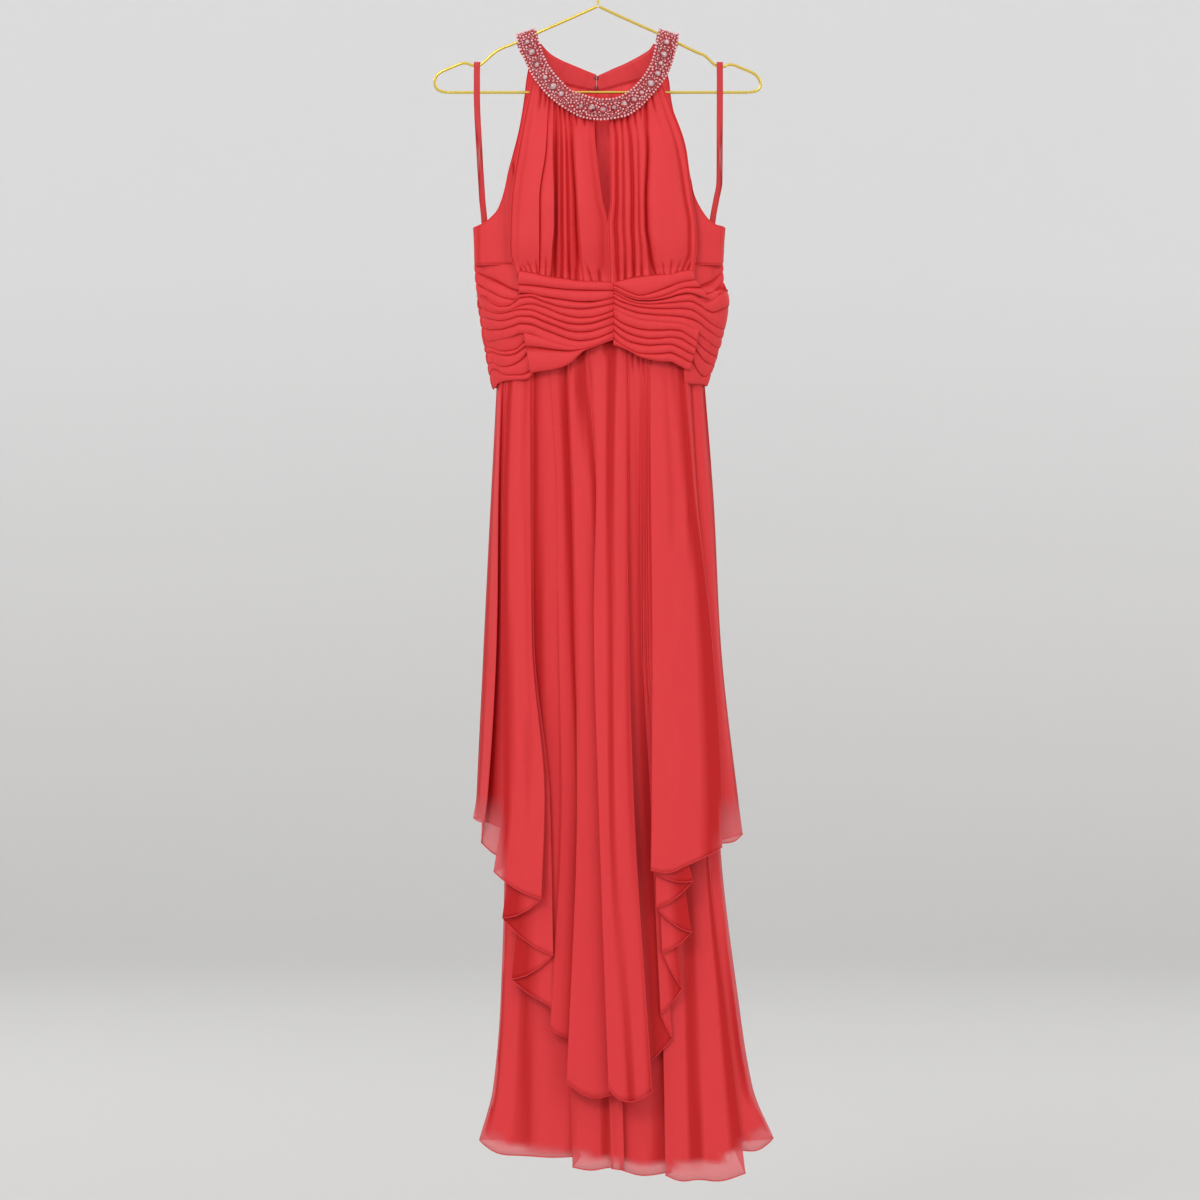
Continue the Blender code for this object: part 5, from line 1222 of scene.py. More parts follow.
LOW_LEFT = rows_of(Tuck, (
    (-151.5, (429, 427.5, 427, 426.5, 425, 424, 422.5, 422.5, 425)),
    (-148.5, (444.5, 447, 450.5, 452, 451.5, 449.5, 442, 437, 434)),
    (-147, (452.5, 452, 454.5, 456.5, 457, 454.5, 448.5, 443.5, 439.5)),
    (-144.5, (468, 466, 470, 472, 471, 467.5, 461, 452.5, 447)),
    (-142, (482.5, 474, 476, 481.5, 483, 483, 482.5, 479, 476)),
    (-137, (501, 496, 494.5, 491, 490, 489.5, 489.5, 487.5, 476)),
))


# %% Tucks of the front, right
TOP_RIGHT_STATIONS = (20, 28.5, 41.5, 54.5, 67.5, 80.5, 93.5, 106.5, 117)
TOP_RIGHT = rows_of(Tuck, (
    (124, (348, 364, 362, 358, 355.5, 354, 353, 352.5, 349, 347.5)),
    (126.5, (359.5, 367, 371, 377, 381, 378, 373.5, 368.5, 363.5, 361)),
    (134, (369, 372, 376.5, 382.5, 385.5, 385, 382.5, 378, 372, 369.5)),
    (145, (385, 373.5, 378, 384, 387, 387, 385.5, 382.5, 378.5, 377)),
))
RUN_RIGHT_STATIONS = (
    20, 28.5, 41.5, 54.5, 67.5, 80.5, 93.5, 106.5, 119.5, 132.5, 140.5, 149.5, 158.5)
RUN_RIGHT = rows_of(Tuck, (
    (170, (374, 374, 378.5, 385, 388.5, 388.5, 387, 384, 380, 378.5, 383.5, 388, 386, 380)),
    (171, (391.5, 377.5, 382, 388.5, 391.5, 392, 391, 390, 388.5, 387.5, 392.5, 398, 401,
           398)),
    (165, (423, 383, 388, 392.5, 395.5, 397, 397.5, 397.5, 397, 398, 404.5, 410.5, 417, 421)),
    (162, (434, 390.5, 395, 400, 403.5, 405, 406, 406.5, 407.5, 410, 415.5, 422, 428, 432.5)),
    (159, (446.5, 399.5, 404, 409.5, 413, 414.5, 416, 417, 418, 423, 430, 437, 442.5, 446)),
))
FLAP_RIGHT_STATIONS = TOP_RIGHT_STATIONS
FLAP_RIGHT = rows_of(Tuck, (
    (131.5, (424, 395, 399, 405, 409, 411, 412, 413.5, 414, 417.5)),
    (129.5, (439.5, 408, 414.5, 420.5, 424, 425.5, 425.5, 425, 426, 431.5)),
    (127.5, (448, 417, 423.5, 430.5, 434.5, 436.5, 436, 434.5, 436, 441.5)),
    (125, (457, 425.5, 433, 440.5, 443.5, 445, 444, 443.5, 448, 453.5)),
    (122, (467, 436, 443.5, 451.5, 456, 456.5, 456, 454.5, 459.5, 465)),
    (120, (477, 445, 447.5, 453.5, 460.5, 464, 466, 466.5, 472, 476)),
))
LOW_RIGHT_STATIONS = (112, 119.5, 128.5, 134, 138)
LOW_RIGHT = rows_of(Tuck, (
    (159, (439.5, 414.5, 418.5, 422.5, 426.5, 429.5)),
    (155, (459, 427.5, 433, 440, 445, 449)),
    (151, (469.5, 438, 443.5, 451.5, 458.5, 463.5)),
    (147.5, (479.5, 451, 459, 475, 482.5, 484.5)),
    (142.5, (496.5, 494.5, 495, 494.5, 494.5, 495)),
))


# %% The shape of a tuck
RUN_START = (-101.0, 118.0)  # the run-on tucks sink towards the sides beyond these places
RUN_REACH = 26.0
RUN_SINK = 3.4
RUN_PUCKER = 0.5             # of the puckers beside the side seam
TUCK_RELIEF = 2.6            # how far a tuck stands before the line under it
CENTRE_PINCH = 0.10          # the tucks are caught at the centre front
CENTRE_X = 20.0
PINCH_REACH = 5.5
TUCK_BULGE = 0.9             # how far a tuck bulges at the side seam
BULGE_REACH = 3.0
PUCKER_INSIDE = 11.0         # a line of puckers beside the side seam
PUCKER_DEPTH = 1.8
PUCKER_REACH = 3.0
TUCK_MARGIN = 4.0            # cloth that goes on under the piece above
MARGIN_RISE = -2.0
LAST_TURN = 2.5              # the last tuck turns back up behind itself
LAST_RISE = -1.6
# Across one tuck: the share of its height, a shift down in millimetres and its rise
TuckStep = namedtuple("TuckStep", "share shift rise")
TUCK_PROFILE = rows_of(TuckStep, (
    (0.00, 0.0, -1.0),
    (0.05, 0.0, -0.55),
    (0.13, 0.0, 0.0),
    (0.26, 0.0, 0.5),
    (0.44, 0.0, 0.86),
    (0.62, 0.0, 1.0),
    (0.79, 0.0, 0.88),
    (0.92, 0.1, 0.5),
    (0.99, 0.3, -0.05),
    (1.00, 0.1, -0.65),
))
# Along its run a tuck swells and slackens in waves of three lengths
TuckWave = namedtuple("TuckWave", "length height")
TUCK_WAVES = rows_of(TuckWave, ((9.0, 0.09), (23.0, 0.13), (41.0, 0.1)))
TUCK_WAVE_STEP = 1.9         # from one tuck to the next


# %% Tucks
def tuck_swell(x, number):
    """How full the tuck is at each place along it."""
    return sum(wave.height * np.sin(x / wave.length + TUCK_WAVE_STEP * number + wave.length)
               for wave in TUCK_WAVES)


def from_seam(x, drop):
    """The distance from the nearer side seam."""
    left, right = edge_pair(WAIST_EDGE, drop)
    return np.maximum(np.minimum(x - left, right - x), 0)


def tuck_grid(lines, base, margin=0.0):
    """Rows of (x, drop, depth) over every tuck between the lines."""
    rows = []
    if margin:
        x, drop = lines[0]
        rows.append(np.stack([x, drop - margin, base(x, drop - margin, MARGIN_RISE)], axis=1))
    for number, (upper, lower) in enumerate(zip(lines[:-1], lines[1:])):
        for step in TUCK_PROFILE:
            x = upper[0] + step.share * (lower[0] - upper[0])
            drop = upper[1] + step.share * (lower[1] - upper[1]) + step.shift
            rise = step.rise + tuck_swell(x, number) * max(step.rise, 0)
            depth = base(x, drop, rise)
            x = x + np.sign(x) * TUCK_BULGE * rise * np.exp(-from_seam(x, drop) / BULGE_REACH)
            rows.append(np.stack([x, drop, depth], axis=1))
    x, drop = lines[-1]
    drop = drop - LAST_TURN
    rows.append(np.stack([x, drop, base(x, drop, LAST_RISE)], axis=1))
    return np.array(rows).transpose(1, 0, 2)


def tuck_lines(tucks, stations, outer_last, columns):
    """The tucks' lines as (x, drop) at even places from one end to the other."""
    drops = np.array([tuck.drops for tuck in tucks], float)
    outer = np.array([tuck.outer_x for tuck in tucks], float)
    clear = (outer - EDGE_CLEAR if outer_last else outer + EDGE_CLEAR)[:, None]
    inside = np.tile(np.array(stations, float), (len(tucks), 1))
    inside = np.minimum(inside, clear) if outer_last else np.maximum(inside, clear)
    xs = np.column_stack([outer, inside])
    if outer_last:
        xs = np.roll(xs, -1, axis=1)
        drops = np.roll(drops, -1, axis=1)
    places = np.linspace(0, 1, columns)
    lines = []
    for line_x, line_drop in zip(xs, drops):
        share = (line_x - line_x[0]) / (line_x[-1] - line_x[0])
        lines.append(np.array([smooth(share, line_x, places), smooth(share, line_drop, places)]))
    return lines


def waist_round(x, drop):
    return lens(WAIST_EDGE, x, drop, 3)


def side_share(shape):
    """Steps and creases fade out where the band turns round to its seams."""
    return np.minimum(1, shape / WAIST_STEP_SHARE)


def waist_front(x, drop, rise):
    pinch = 1 - CENTRE_PINCH * np.exp(-((x - CENTRE_X) / PINCH_REACH) ** 2)
    return (WAIST_BASE + TUCK_RELIEF * rise) * waist_round(x, drop) * pinch


def pucker(x, drop):
    return PUCKER_DEPTH * np.exp(-((from_seam(x, drop) - PUCKER_INSIDE) / PUCKER_REACH) ** 2)


def waist_run(x, drop, rise):
    """The front's depth, sinking beyond the front pieces' ends."""
    out = np.maximum(RUN_START[0] - x, x - RUN_START[1])
    share = np.clip(out / RUN_REACH, 0, 1)
    sunk = RUN_SINK * share * share * (3 - 2 * share) * side_share(waist_round(x, drop))
    return waist_front(x, drop, rise) - sunk - RUN_PUCKER * pucker(x, drop)


def waist_side(x, drop, rise):
    shape = waist_round(x, drop)
    step = level(WAIST_SIDE_STEP, drop) * side_share(shape)
    return (WAIST_BASE + TUCK_RELIEF * rise) * shape - step - pucker(x, drop)


def waist_back(x, drop, rise):
    return -(WAIST_BACK_BASE + TUCK_RELIEF * rise) * waist_round(x, drop)


# %% Waistband
# A group of neighbouring tucks that is laid in one go
Group = namedtuple("Group", "piece tucks stations outer_last columns margin base")
GROUPS = (
    Group("waistband_front_left", TOP_LEFT, TOP_LEFT_STATIONS, False, 90, 0, waist_front),
    Group("waistband_front_left", RUN_LEFT, RUN_LEFT_STATIONS, False, 150, TUCK_MARGIN, waist_run),
    Group("waistband_front_left", FLAP_LEFT, FLAP_LEFT_STATIONS, False, 90, 0, waist_front),
    Group("waistband_front_right", TOP_RIGHT, TOP_RIGHT_STATIONS, True, 90, 0, waist_front),
    Group("waistband_front_right", RUN_RIGHT, RUN_RIGHT_STATIONS, True, 130, TUCK_MARGIN,
          waist_run),
    Group("waistband_front_right", FLAP_RIGHT, FLAP_RIGHT_STATIONS, True, 90, 0, waist_front),
    Group("waistband_side_left", SIDE_LEFT_TUCKS, SIDE_LEFT_STATIONS, False, 60, 0, waist_side),
    Group("waistband_side_left", LOW_LEFT, LOW_LEFT_STATIONS, False, 70, 0, waist_side),
    Group("waistband_side_right", SIDE_RIGHT_TUCKS, SIDE_RIGHT_STATIONS, True, 50, 0, waist_side),
    Group("waistband_side_right", LOW_RIGHT, LOW_RIGHT_STATIONS, True, 50, 0, waist_side),
)


def group_points(group):
    lines = tuck_lines(group.tucks, group.stations, group.outer_last, group.columns)
    sheet = tuck_grid(lines, group.base, group.margin)
    if group.base is not waist_front:
        sheet = set_seams(sheet, SEAM, not group.outer_last, group.outer_last)
    return metres(sheet)


def back_tuck_lines(columns):
    """The lines between the back's tucks, which bow evenly from seam to seam."""
    shares = np.linspace(0, 1, columns)
    last = len(WAIST_SEAMS) - 1
    lines = []
    for k, seam in enumerate(WAIST_SEAMS):
        middle = WAIST_BACK_TOP + (WAIST_BACK_BOTTOM - WAIST_BACK_TOP) * k / last
        ends = seam.left_drop * (1 - shares) + seam.right_drop * shares
        sag = middle - 0.5 * (seam.left_drop + seam.right_drop)
        x = seam.left_x + shares * (seam.right_x - seam.left_x)
        lines.append(np.array([x, ends + sag * np.sin(math.pi * shares)]))
    return lines


def make_waistband():
    for name in sorted({group.piece for group in GROUPS}):
        grids = [group_points(group) for group in GROUPS if group.piece == name]
        piece = cloth(name + "_cloth", grids, chiffon, CHIFFON_THICK, across=False)
        sew_in(piece, grids, "gathered", ["bodice_front_left"], "chiffon", name)
    points = metres(set_seams(tuck_grid(back_tuck_lines(columns=110), waist_back), -SEAM))
    piece = cloth("waistband_back_cloth", points, chiffon, CHIFFON_THICK, True, across=False)
    sew_in(piece, points, "gathered", ["bodice_back_left"], "chiffon", "waistband_back")


make_waistband()

# %% [markdown]
# ## Bodice
# Two chiffon fronts are gathered tightly into the collar and again into the band, with a narrow
# keyhole between them that closes in a V. Beside and behind them the plain side panels and the
# satin inside of the back show. The tables give the deep gathers, and fine ones are laid over
# them near both seams.

# %% Outline and depth of the bodice
BODICE_CENTRE_X = 8.0
KEYHOLE_DIP = 0.10
KEYHOLE_DIP_REACH = 24.0
BODICE_DROPS = (191, 255, 290, 321)
BODICE_EDGE = rows_of(Edge, (
    (89.5, -83, 80.5), (100, -86, 83), (191, -110, 113.5), (255, -112.5, 121), (290, -113, 126),
    (321, -114, 127), (356, -104.5, 122), (373, -104, 122),
))
BODICE_BASE = rows_of(Level, (
    (87, 7), (126, 12), (151, 16), (171.5, 25), (191, 31), (230, 39), (269, 44), (308, 44),
    (347, 39.5), (373, 38.5),
))
CUP_EDGE_SHARE = rows_of(Level, (
    (87, 0.6), (191, 0.5), (256, 0.62), (308, 0.76), (373, 0.78),
))
RIPPLE_SHARE = rows_of(Level, (
    (87, 0.35), (151, 0.45), (191, 0.8), (308, 1.0), (344.5, 0.8), (373, 0.5),
))


# %% Folds of the bodice
BODICE_LEFT = rows_of(Thread, (
    ("armhole", -84.5, 91, (-103.5, -112.5, -114, -114.5), -104.5, 356, 0, 0),
    ("cup_side", -80.5, 95, (-97.5, -106.5, -108, -108.5), -100, 356, 0.5, 0.5),
    ("cup_a", -74, 102.5, (-84.5, -93.5, -96, -97.5), -93.5, 357, 2, 2),
    ("cup_b", -67, 109, (-73.5, -81, -82.5, -83), -83, 358, 2, 2),
    ("cup_edge", -64.5, 113, (-68.5, -76.5, -76.5, -76.5), -77.5, 359, 1.5, -2.2),
    ("fold_1a", -62, 115.5, (-64.5, -72.5, -72, -73), -74, 359, 2.2, 2.2),
    ("fold_1b", -59.5, 118.5, (-61, -63, -63, -65), -67, 360, 2.5, 2.5),
    ("fold_1_edge", -58, 120, (-59, -57.5, -57.5, -60), -62, 360.5, 2, -4),
    ("dark_1", -54.5, 123.5, (-54.5, -53.5, -53.5, -55.5), -56.5, 361.5, -6.5, -6.5),
    ("fold_2", -51.5, 125.5, (-50.5, -50.5, -50.5, -50.5), -51.5, 362, 1.5, 2),
    ("line_2", -49, 127, (-47, -47, -47, -46.5), -47, 362.5, -2.5, -2.5),
    ("fold_3", -46, 129, (-44, -43, -42.5, -42), -42, 363, 2.2, 2.2),
    ("line_3", -43, 131, (-40.5, -39.5, -39, -38.5), -38.5, 364, -3, -3),
    ("fold_4", -39.5, 132.5, (-37.5, -34.5, -34, -34), -33, 364.5, 0.5, 0.8),
    ("dark_4", -35, 135.5, (-33.5, -29, -28, -26.5), -26, 366, -4, -3.5),
    ("strip_edge", -32, 137.5, (-30, -26.5, -24, -21.5), -19.5, 366.5, 2.2, 2.5),
    ("strip_a", -26, 141, (-23.5, -18, -14.5, -13), -12.5, 367.5, 3, 3),
    ("strip_b", -17.5, 144, (-15, -8, -2.5, -2.5), -4, 368.5, 1.5, 1.5),
    ("strip_c", -11.5, 145.5, (-8.5, -0.5, 6, 6), 5, 369.5, -0.5, -0.5),
    ("keyhole", -7, 146, (-3, 5, 12.5, 14), 15, 370, 0, 0),
))
BODICE_RIGHT = rows_of(Thread, (
    ("keyhole", 15, 146, (16.5, 17, 13.5, 14.5), 15.5, 370, 0, 0),
    ("edge_fold", 18, 145.5, (20, 20, 17, 18.5), 19.5, 369, 1.5, 1.5),
    ("line_1", 23, 145, (24.5, 24.5, 23, 24.5), 24.5, 369, -3.5, -3.5),
    ("fold_1", 27.5, 144, (29, 29, 28.5, 30), 30.5, 368, 1.2, 1.2),
    ("line_2", 31, 142.5, (32.5, 33, 33, 35), 35.5, 366.5, -1.8, -1.8),
    ("fold_2", 34.5, 141, (37.5, 39, 39, 40.5), 41, 365.5, 2, 2),
    ("line_3", 39, 139, (43.5, 45.5, 45, 46.5), 47, 364, -3.8, -3.8),
    ("fold_3", 43.5, 136.5, (48, 49.5, 49.5, 50.5), 51.5, 362.5, 2, 2),
    ("line_4", 48, 134, (52.5, 53, 53.5, 56), 57, 362, -0.5, -0.5),
    ("fold_4", 53, 130.5, (57, 56.5, 57, 60.5), 62.5, 361.5, 2.5, 2.5),
    ("fold_4_edge", 58, 126, (62, 59.5, 60, 63.5), 67.5, 361, 1.5, -3),
    ("dark_5", 60.5, 123, (64.5, 62, 63, 67), 73.5, 360.5, -5.5, -5.5),
    ("cup_edge", 63, 119.5, (68.5, 66.5, 67, 71.5), 78, 360, 1, 1),
    ("cup_a", 67.5, 115, (78.5, 79.5, 82, 84), 86.5, 359.5, 2.5, 2.5),
    ("cup_b", 71.5, 110.5, (89.5, 95, 99, 100), 96, 359, 2, 2),
    ("cup_c", 74, 108, (98, 107, 112, 112), 105.5, 358, 1.2, 1.2),
    ("cup_line", 76.5, 105.5, (104, 114.5, 120, 119.5), 113, 358, -1.2, -1.2),
    ("cup_side", 78.5, 103.5, (108, 118, 123, 124), 117.5, 357.5, 0.8, 0.8),
    ("armhole", 82, 99, (115, 122, 127, 127.5), 123, 356, 0, 0),
))
BODICE_RELIEF = 1.6
BODICE_ROWS = 130
INTO_BAND = 4.0              # the cloth comes forward where it runs into the band
INTO_BAND_REACH = 16.0


# %% Gathers of the bodice
# Short folds that fan up from the waistband, and down from the collar
BAND_GATHERS = rows_of(Gather, (
    (-99, 348.5, 9, -0.4), (-93, 348.5, 12, -0.5), (-86, 351, 22, -0.35),
    (-78.5, 353.5, 26, -0.15), (-67.5, 357.5, 40, 0.0), (-62, 357.5, 24, 0.0),
    (-47.5, 360, 16, 0.05), (-36, 361.5, 60, -0.05), (-28, 361.5, 22, -0.1),
    (-19, 362.5, 44, -0.14), (-8, 362.5, 34, -0.3), (2.5, 362.5, 22, -0.1),
    (26.5, 362.5, 40, 0.0), (35.5, 359, 34, 0.0), (47, 356, 32, 0.0), (57, 355, 20, -0.05),
    (75.5, 353.5, 30, -0.35), (80.5, 353.5, 16, -0.3), (86.5, 353.5, 26, -0.2),
    (94, 352.5, 24, 0.1), (102, 351, 24, 0.35), (109, 349.5, 30, 0.4), (116.5, 348.5, 24, 0.35),
))
COLLAR_GATHERS = rows_of(Gather, (
    (-74, 112, 36, -0.12), (-67.5, 117, 30, -0.08), (-62.5, 122, 44, -0.04),
    (-50.5, 131.5, 30, 0.03), (-44, 135, 26, 0.03), (-37.5, 139, 34, 0.04),
    (-28.5, 143, 22, 0.08), (-18, 147, 18, 0.1), (21, 148, 26, 0.02), (30, 145.5, 30, 0.04),
    (37.5, 143, 34, 0.08), (47, 139, 30, 0.1), (54.5, 134, 26, 0.1), (62.5, 127.5, 46, 0.08),
    (70, 119.5, 28, 0.25),
))


# %% Bodice fronts
def bodice_base(x, drop):
    """Depth of a cup without its gathers, which dips a little at the keyhole."""
    left, right = edge_pair(BODICE_EDGE, drop)
    middle = BODICE_CENTRE_X
    reach = np.where(x < middle, (middle - x) / (middle - left), (x - middle) / (right - middle))
    reach = np.clip(reach, 0, 1)
    kept = level(CUP_EDGE_SHARE, drop)
    dip = 1 - KEYHOLE_DIP * np.exp(-((x - middle) / KEYHOLE_DIP_REACH) ** 2)
    return level(BODICE_BASE, drop) * (1 - (1 - kept) * reach ** 3) * dip


def ripple_share(drop):
    """How much of their depth the gathers have, from the collar down to the band."""
    return level(RIPPLE_SHARE, drop)


def make_bodice_fronts():
    for name, threads in (("bodice_front_left", BODICE_LEFT), ("bodice_front_right", BODICE_RIGHT)):
        sheet = thread_sheet(threads, BODICE_DROPS, BODICE_ROWS, bodice_base, ripple_share,
                             relief=BODICE_RELIEF, per_control=6, crisp=2)
        sheet[..., 2] += INTO_BAND * fade(sheet[:, -1:, 1] - sheet[..., 1], INTO_BAND_REACH)
        sheet[..., 2] -= gathered_in(sheet, BAND_GATHERS, True)
        sheet[..., 2] -= gathered_in(sheet, COLLAR_GATHERS, False)
        points = rippled(metres(sheet), strength=0.3, phase=0.2, calm=CALM_COLUMNS)
        piece = cloth(name + "_cloth", points, chiffon, CHIFFON_THICK)
        outer, inner = (0, -1) if name.endswith("left") else (-1, 0)
        rolls = [roll_along(name + "_armhole_hem", points[outer], ROLL_RADIUS, chiffon),
                 roll_along(name + "_keyhole_hem", points[inner], ROLL_RADIUS, chiffon)]
        sew_in(piece, points, "gathered", ["collar_front"], "chiffon", name, with_pieces=rolls)


make_bodice_fronts()


# %% Side and back tables
BODY_BASE = rows_of(Level, (
    (74, 13.5), (106.5, 13.5), (152, 14), (217, 16), (290, 21), (336.5, 24), (386, 26),
    (503, 28),
))
SIDE_BASE = rows_of(Level, (
    (191, 12), (214.5, 14), (256, 20), (295, 26), (339.5, 30),
))
SIDE_LEFT = rows_of(Thread, (
    ("seam", -162.5, 290.5, (), -161, 335, 0, 0),
    ("turn", -160.5, 289.5, (), -159.5, 335, 0, 0),
    ("strap", -145.5, 283.5, (), -145.5, 335, 0, 0),
    ("under_arm", -136.5, 275, (), -137, 335, 0, 0),
    ("arm_low", -130, 268, (), -130, 335, 0, 0),
    ("arm", -123, 248.5, (), -121, 335, -1, -1),
    ("arm_high", -119, 230, (), -113, 335, -1, -1),
    ("under_cup", -115, 214.5, (), -105.5, 335, -1, -1),
    ("inner", -110.5, 201.5, (), -96, 335, -1, -1),
))
SIDE_RIGHT = rows_of(Thread, (
    ("inner", 112, 199, (), 112, 335, -1, -1),
    ("under_cup", 117, 214.5, (), 119.5, 335, -1, -1),
    ("arm_high", 121.5, 230, (), 127.5, 335, -1, -1),
    ("arm", 124, 247, (), 131.5, 335, -1, -1),
    ("arm_low", 132.5, 265, (), 136.5, 335, 0, 0),
    ("under_arm", 143, 280, (), 144.5, 335, 0, 0),
    ("strap", 153.5, 287.5, (), 153.5, 335, 0, 0),
    ("turn", 163.5, 290, (), 161, 335, 0, 0),
    ("seam", 165.5, 290.5, (), 163, 335, 0, 0),
))
BODY_EDGE = rows_of(Edge, (
    (61, -162.5, 165.5), (290.5, -162.5, 165.5), (335, -161, 163), (340.5, -161, 163),
))
BACK_CENTRE_X = -3
BACK_LEFT = rows_of(BackRow, (
    (-89.5, 74, 105.5), (-93.5, 97.5, 126), (-96, 119.5, 141.5), (-102.5, 158.5, 170.5),
    (-110.5, 191, 197.5), (-117.5, 217, 221), (-123.5, 248.5, 249.5), (-130.5, 268, 270.5),
    (-145.5, 283.5, 286), (-162.5, 290.5, 297.5), (-161.5, 312, 316), (-161, 335, 335),
))
BACK_RIGHT = rows_of(BackRow, (
    (87, 76.5, 105.5), (92.5, 97.5, 126), (95, 119.5, 141.5), (104, 158.5, 170.5),
    (114, 191, 197.5), (119.5, 217, 221), (124.5, 247, 249.5), (133, 265, 269),
    (149.5, 283.5, 286), (165.5, 290.5, 297.5), (164, 312, 316), (163, 335, 335),
))
SIDE_ROWS = 50
BINDING_RADIUS = ROLL_RADIUS * 1.3


# %% Side panels and back
def side_base(x, drop):
    return level(SIDE_BASE, drop) * lens(BODY_EDGE, x, drop, 3)


def whole(drop):
    return np.ones_like(drop)


def back_half(table, centre_x, mirrored, columns=60, rows=80):
    """A back panel from its outer edge to the centre-back seam."""
    shares = 1 - np.cos(np.linspace(0, math.pi / 2, columns))
    at = np.linspace(0, len(table) - 1, rows)
    outer_x, outer_drop, inner_drop = [
        smooth(np.arange(len(table)), [row[k] for row in table], at) for k in range(3)]
    x = outer_x + shares[:, None] * (centre_x - outer_x)
    drop = outer_drop + shares[:, None] * (inner_drop - outer_drop)
    depth = np.minimum(-level(BODY_BASE, drop) * lens(BODY_EDGE, x, drop, 3), -SEAM)
    sheet = np.stack([x, drop, depth], axis=2)
    return sheet[::-1] if mirrored else sheet


def run_under(sheet, down=4.0, back=0.94):
    """The cloth goes on a little behind the seam's other piece."""
    more = sheet[:, -1:].copy()
    more[..., 1] += down
    more[..., 2] *= back
    return np.concatenate([sheet, more], axis=1)


def make_sides_and_back():
    for name, threads, left in (("side_panel_left", SIDE_LEFT, True),
                                ("side_panel_right", SIDE_RIGHT, False)):
        sheet = thread_sheet(threads, (), SIDE_ROWS, side_base, whole)
        sheet = run_under(set_seams(sheet, SEAM, left, not left))
        points = rippled(metres(sheet), strength=0.35, phase=1.1)
        piece = cloth(name + "_cloth", points, chiffon, SATIN_THICK)
        rolls = [roll_along(name + "_binding", points[:, 0], BINDING_RADIUS, chiffon),
                 roll_along(name + "_seam", points[:, -1], ROLL_RADIUS, chiffon)]
        sew_in(piece, points, "stretched", ["ribbon_left"], "satin", name, with_pieces=rolls)
    for name, table, side in (("bodice_back_left", BACK_LEFT, -1),
                              ("bodice_back_right", BACK_RIGHT, 1)):
        sheet = back_half(table, BACK_CENTRE_X + side * SEAM, side > 0)
        points = rippled(metres(sheet), strength=0.5, phase=2.0)
        piece = cloth(name + "_cloth", points, chiffon, SATIN_THICK, True, inside=lit_inside_satin)
        armhole = points[-1 if side > 0 else 0]
        centre = points[0 if side > 0 else -1]
        rolls = [roll_along(name + "_binding", armhole, BINDING_RADIUS, chiffon),
                 roll_along(name + "_centre_seam", centre, ROLL_RADIUS, chiffon)]
        sew_in(piece, points, "hung", ["collar_back_left"], "satin", name, with_pieces=rolls)


make_sides_and_back()

# %% [markdown]
# ## Collar
# The front collar is a stiff satin band whose ends fold over the hanger's arms. It is sewn all
# over: a row of pearls along each edge, loose clusters of pearls and small dark beads between
# them, and faceted stones at intervals. The beads are dropped one by one where there is room, and
# a node tree then puts a small sphere or a cut stone at each place.

# %% Collar tables
COLLAR_FRONT = rows_of(Station, (
    (-77.4, 46.1, -104.6, 54.6, -4.8),
    (-79.6, 35.1, -106, 43.6, -4.2),
    (-81.9, 30.7, -106, 38.7, 0),
    (-81.6, 35.1, -105.3, 42.9, 4.4),
    (-78, 44.8, -103.4, 52, 6),
    (-71.5, 65, -96.2, 70.2, 8),
    (-63.7, 80.6, -88.4, 87.1, 10),
    (-55.2, 92.3, -79.3, 101.4, 12),
    (-45.5, 102.7, -67.6, 115.7, 14),
    (-35.1, 112.4, -54.6, 127.4, 16),
    (-22.1, 117, -37.7, 139.1, 18),
    (-9.1, 121.2, -19.5, 148.2, 19.5),
    (2.6, 123.5, 2.6, 151.1, 20),
    (14.3, 123.5, 18.2, 149.5, 19.5),
    (27.3, 120.9, 36.4, 145.6, 18),
    (39, 113.8, 53.3, 135.2, 16),
    (48.1, 106.6, 65, 123.5, 14),
    (57.2, 96.2, 76.7, 109.8, 12),
    (65, 84.5, 85.8, 97.5, 10),
    (71.5, 68.9, 93, 85.8, 8),
    (75.4, 52, 100.1, 63.7, 6),
    (79, 37.7, 104, 45.5, 4.4),
    (79.6, 31.2, 104.8, 38.7, 0),
    (77.5, 36.4, 104.8, 44.2, -4.2),
    (75.4, 46.1, 103.4, 54.6, -4.8),
))
COLLAR_BACK_LEFT = rows_of(Station, (
    (-74.9, 48.8, -102.7, 57.8, -4.8),
    (-68.9, 55.9, -93.6, 71.5, -5.6),
    (-61.1, 63, -81.9, 84.5, -7),
    (-48.1, 70.2, -65, 93.6, -8.6),
    (-28, 78.6, -42.9, 100.8, -10),
    (-16.9, 83.2, -26, 104.6, -10.6),
    (-4.4, 89, -6.2, 109.2, -11),
))
COLLAR_BACK_RIGHT = rows_of(Station, (
    (0.5, 91, 0.3, 109.6, -11),
    (18.2, 81.9, 23.4, 102.7, -10.6),
    (33.8, 75.4, 46.8, 96.8, -10),
    (49.4, 67.6, 66.3, 93.6, -8.6),
    (61.1, 61.1, 80.6, 84.5, -7),
    (67.6, 56.6, 92.3, 71.5, -5.6),
    (73.1, 48.8, 101.4, 57.8, -4.8),
))
CRYSTALS = rows_of(Spot, (
    (-92.5, 48), (-87, 61), (-79.5, 78), (-69, 95), (-58.5, 106.5), (-48, 116.5), (-22, 133.5),
    (-8, 135), (6.5, 137.5), (21, 135), (34, 130), (47, 124.5), (57, 115), (69, 102.5),
    (78, 89.5), (82, 76), (86, 64), (89.5, 48),
))
COLLAR_THICK = 0.0022
COLLAR_BACK_THICK = SATIN_THICK * 1.6
COLLAR_BELLY = 1.0           # the band's face is a little round across its width
NECK_SLIT_X = -2.0
MEETING_REACH = 12.0


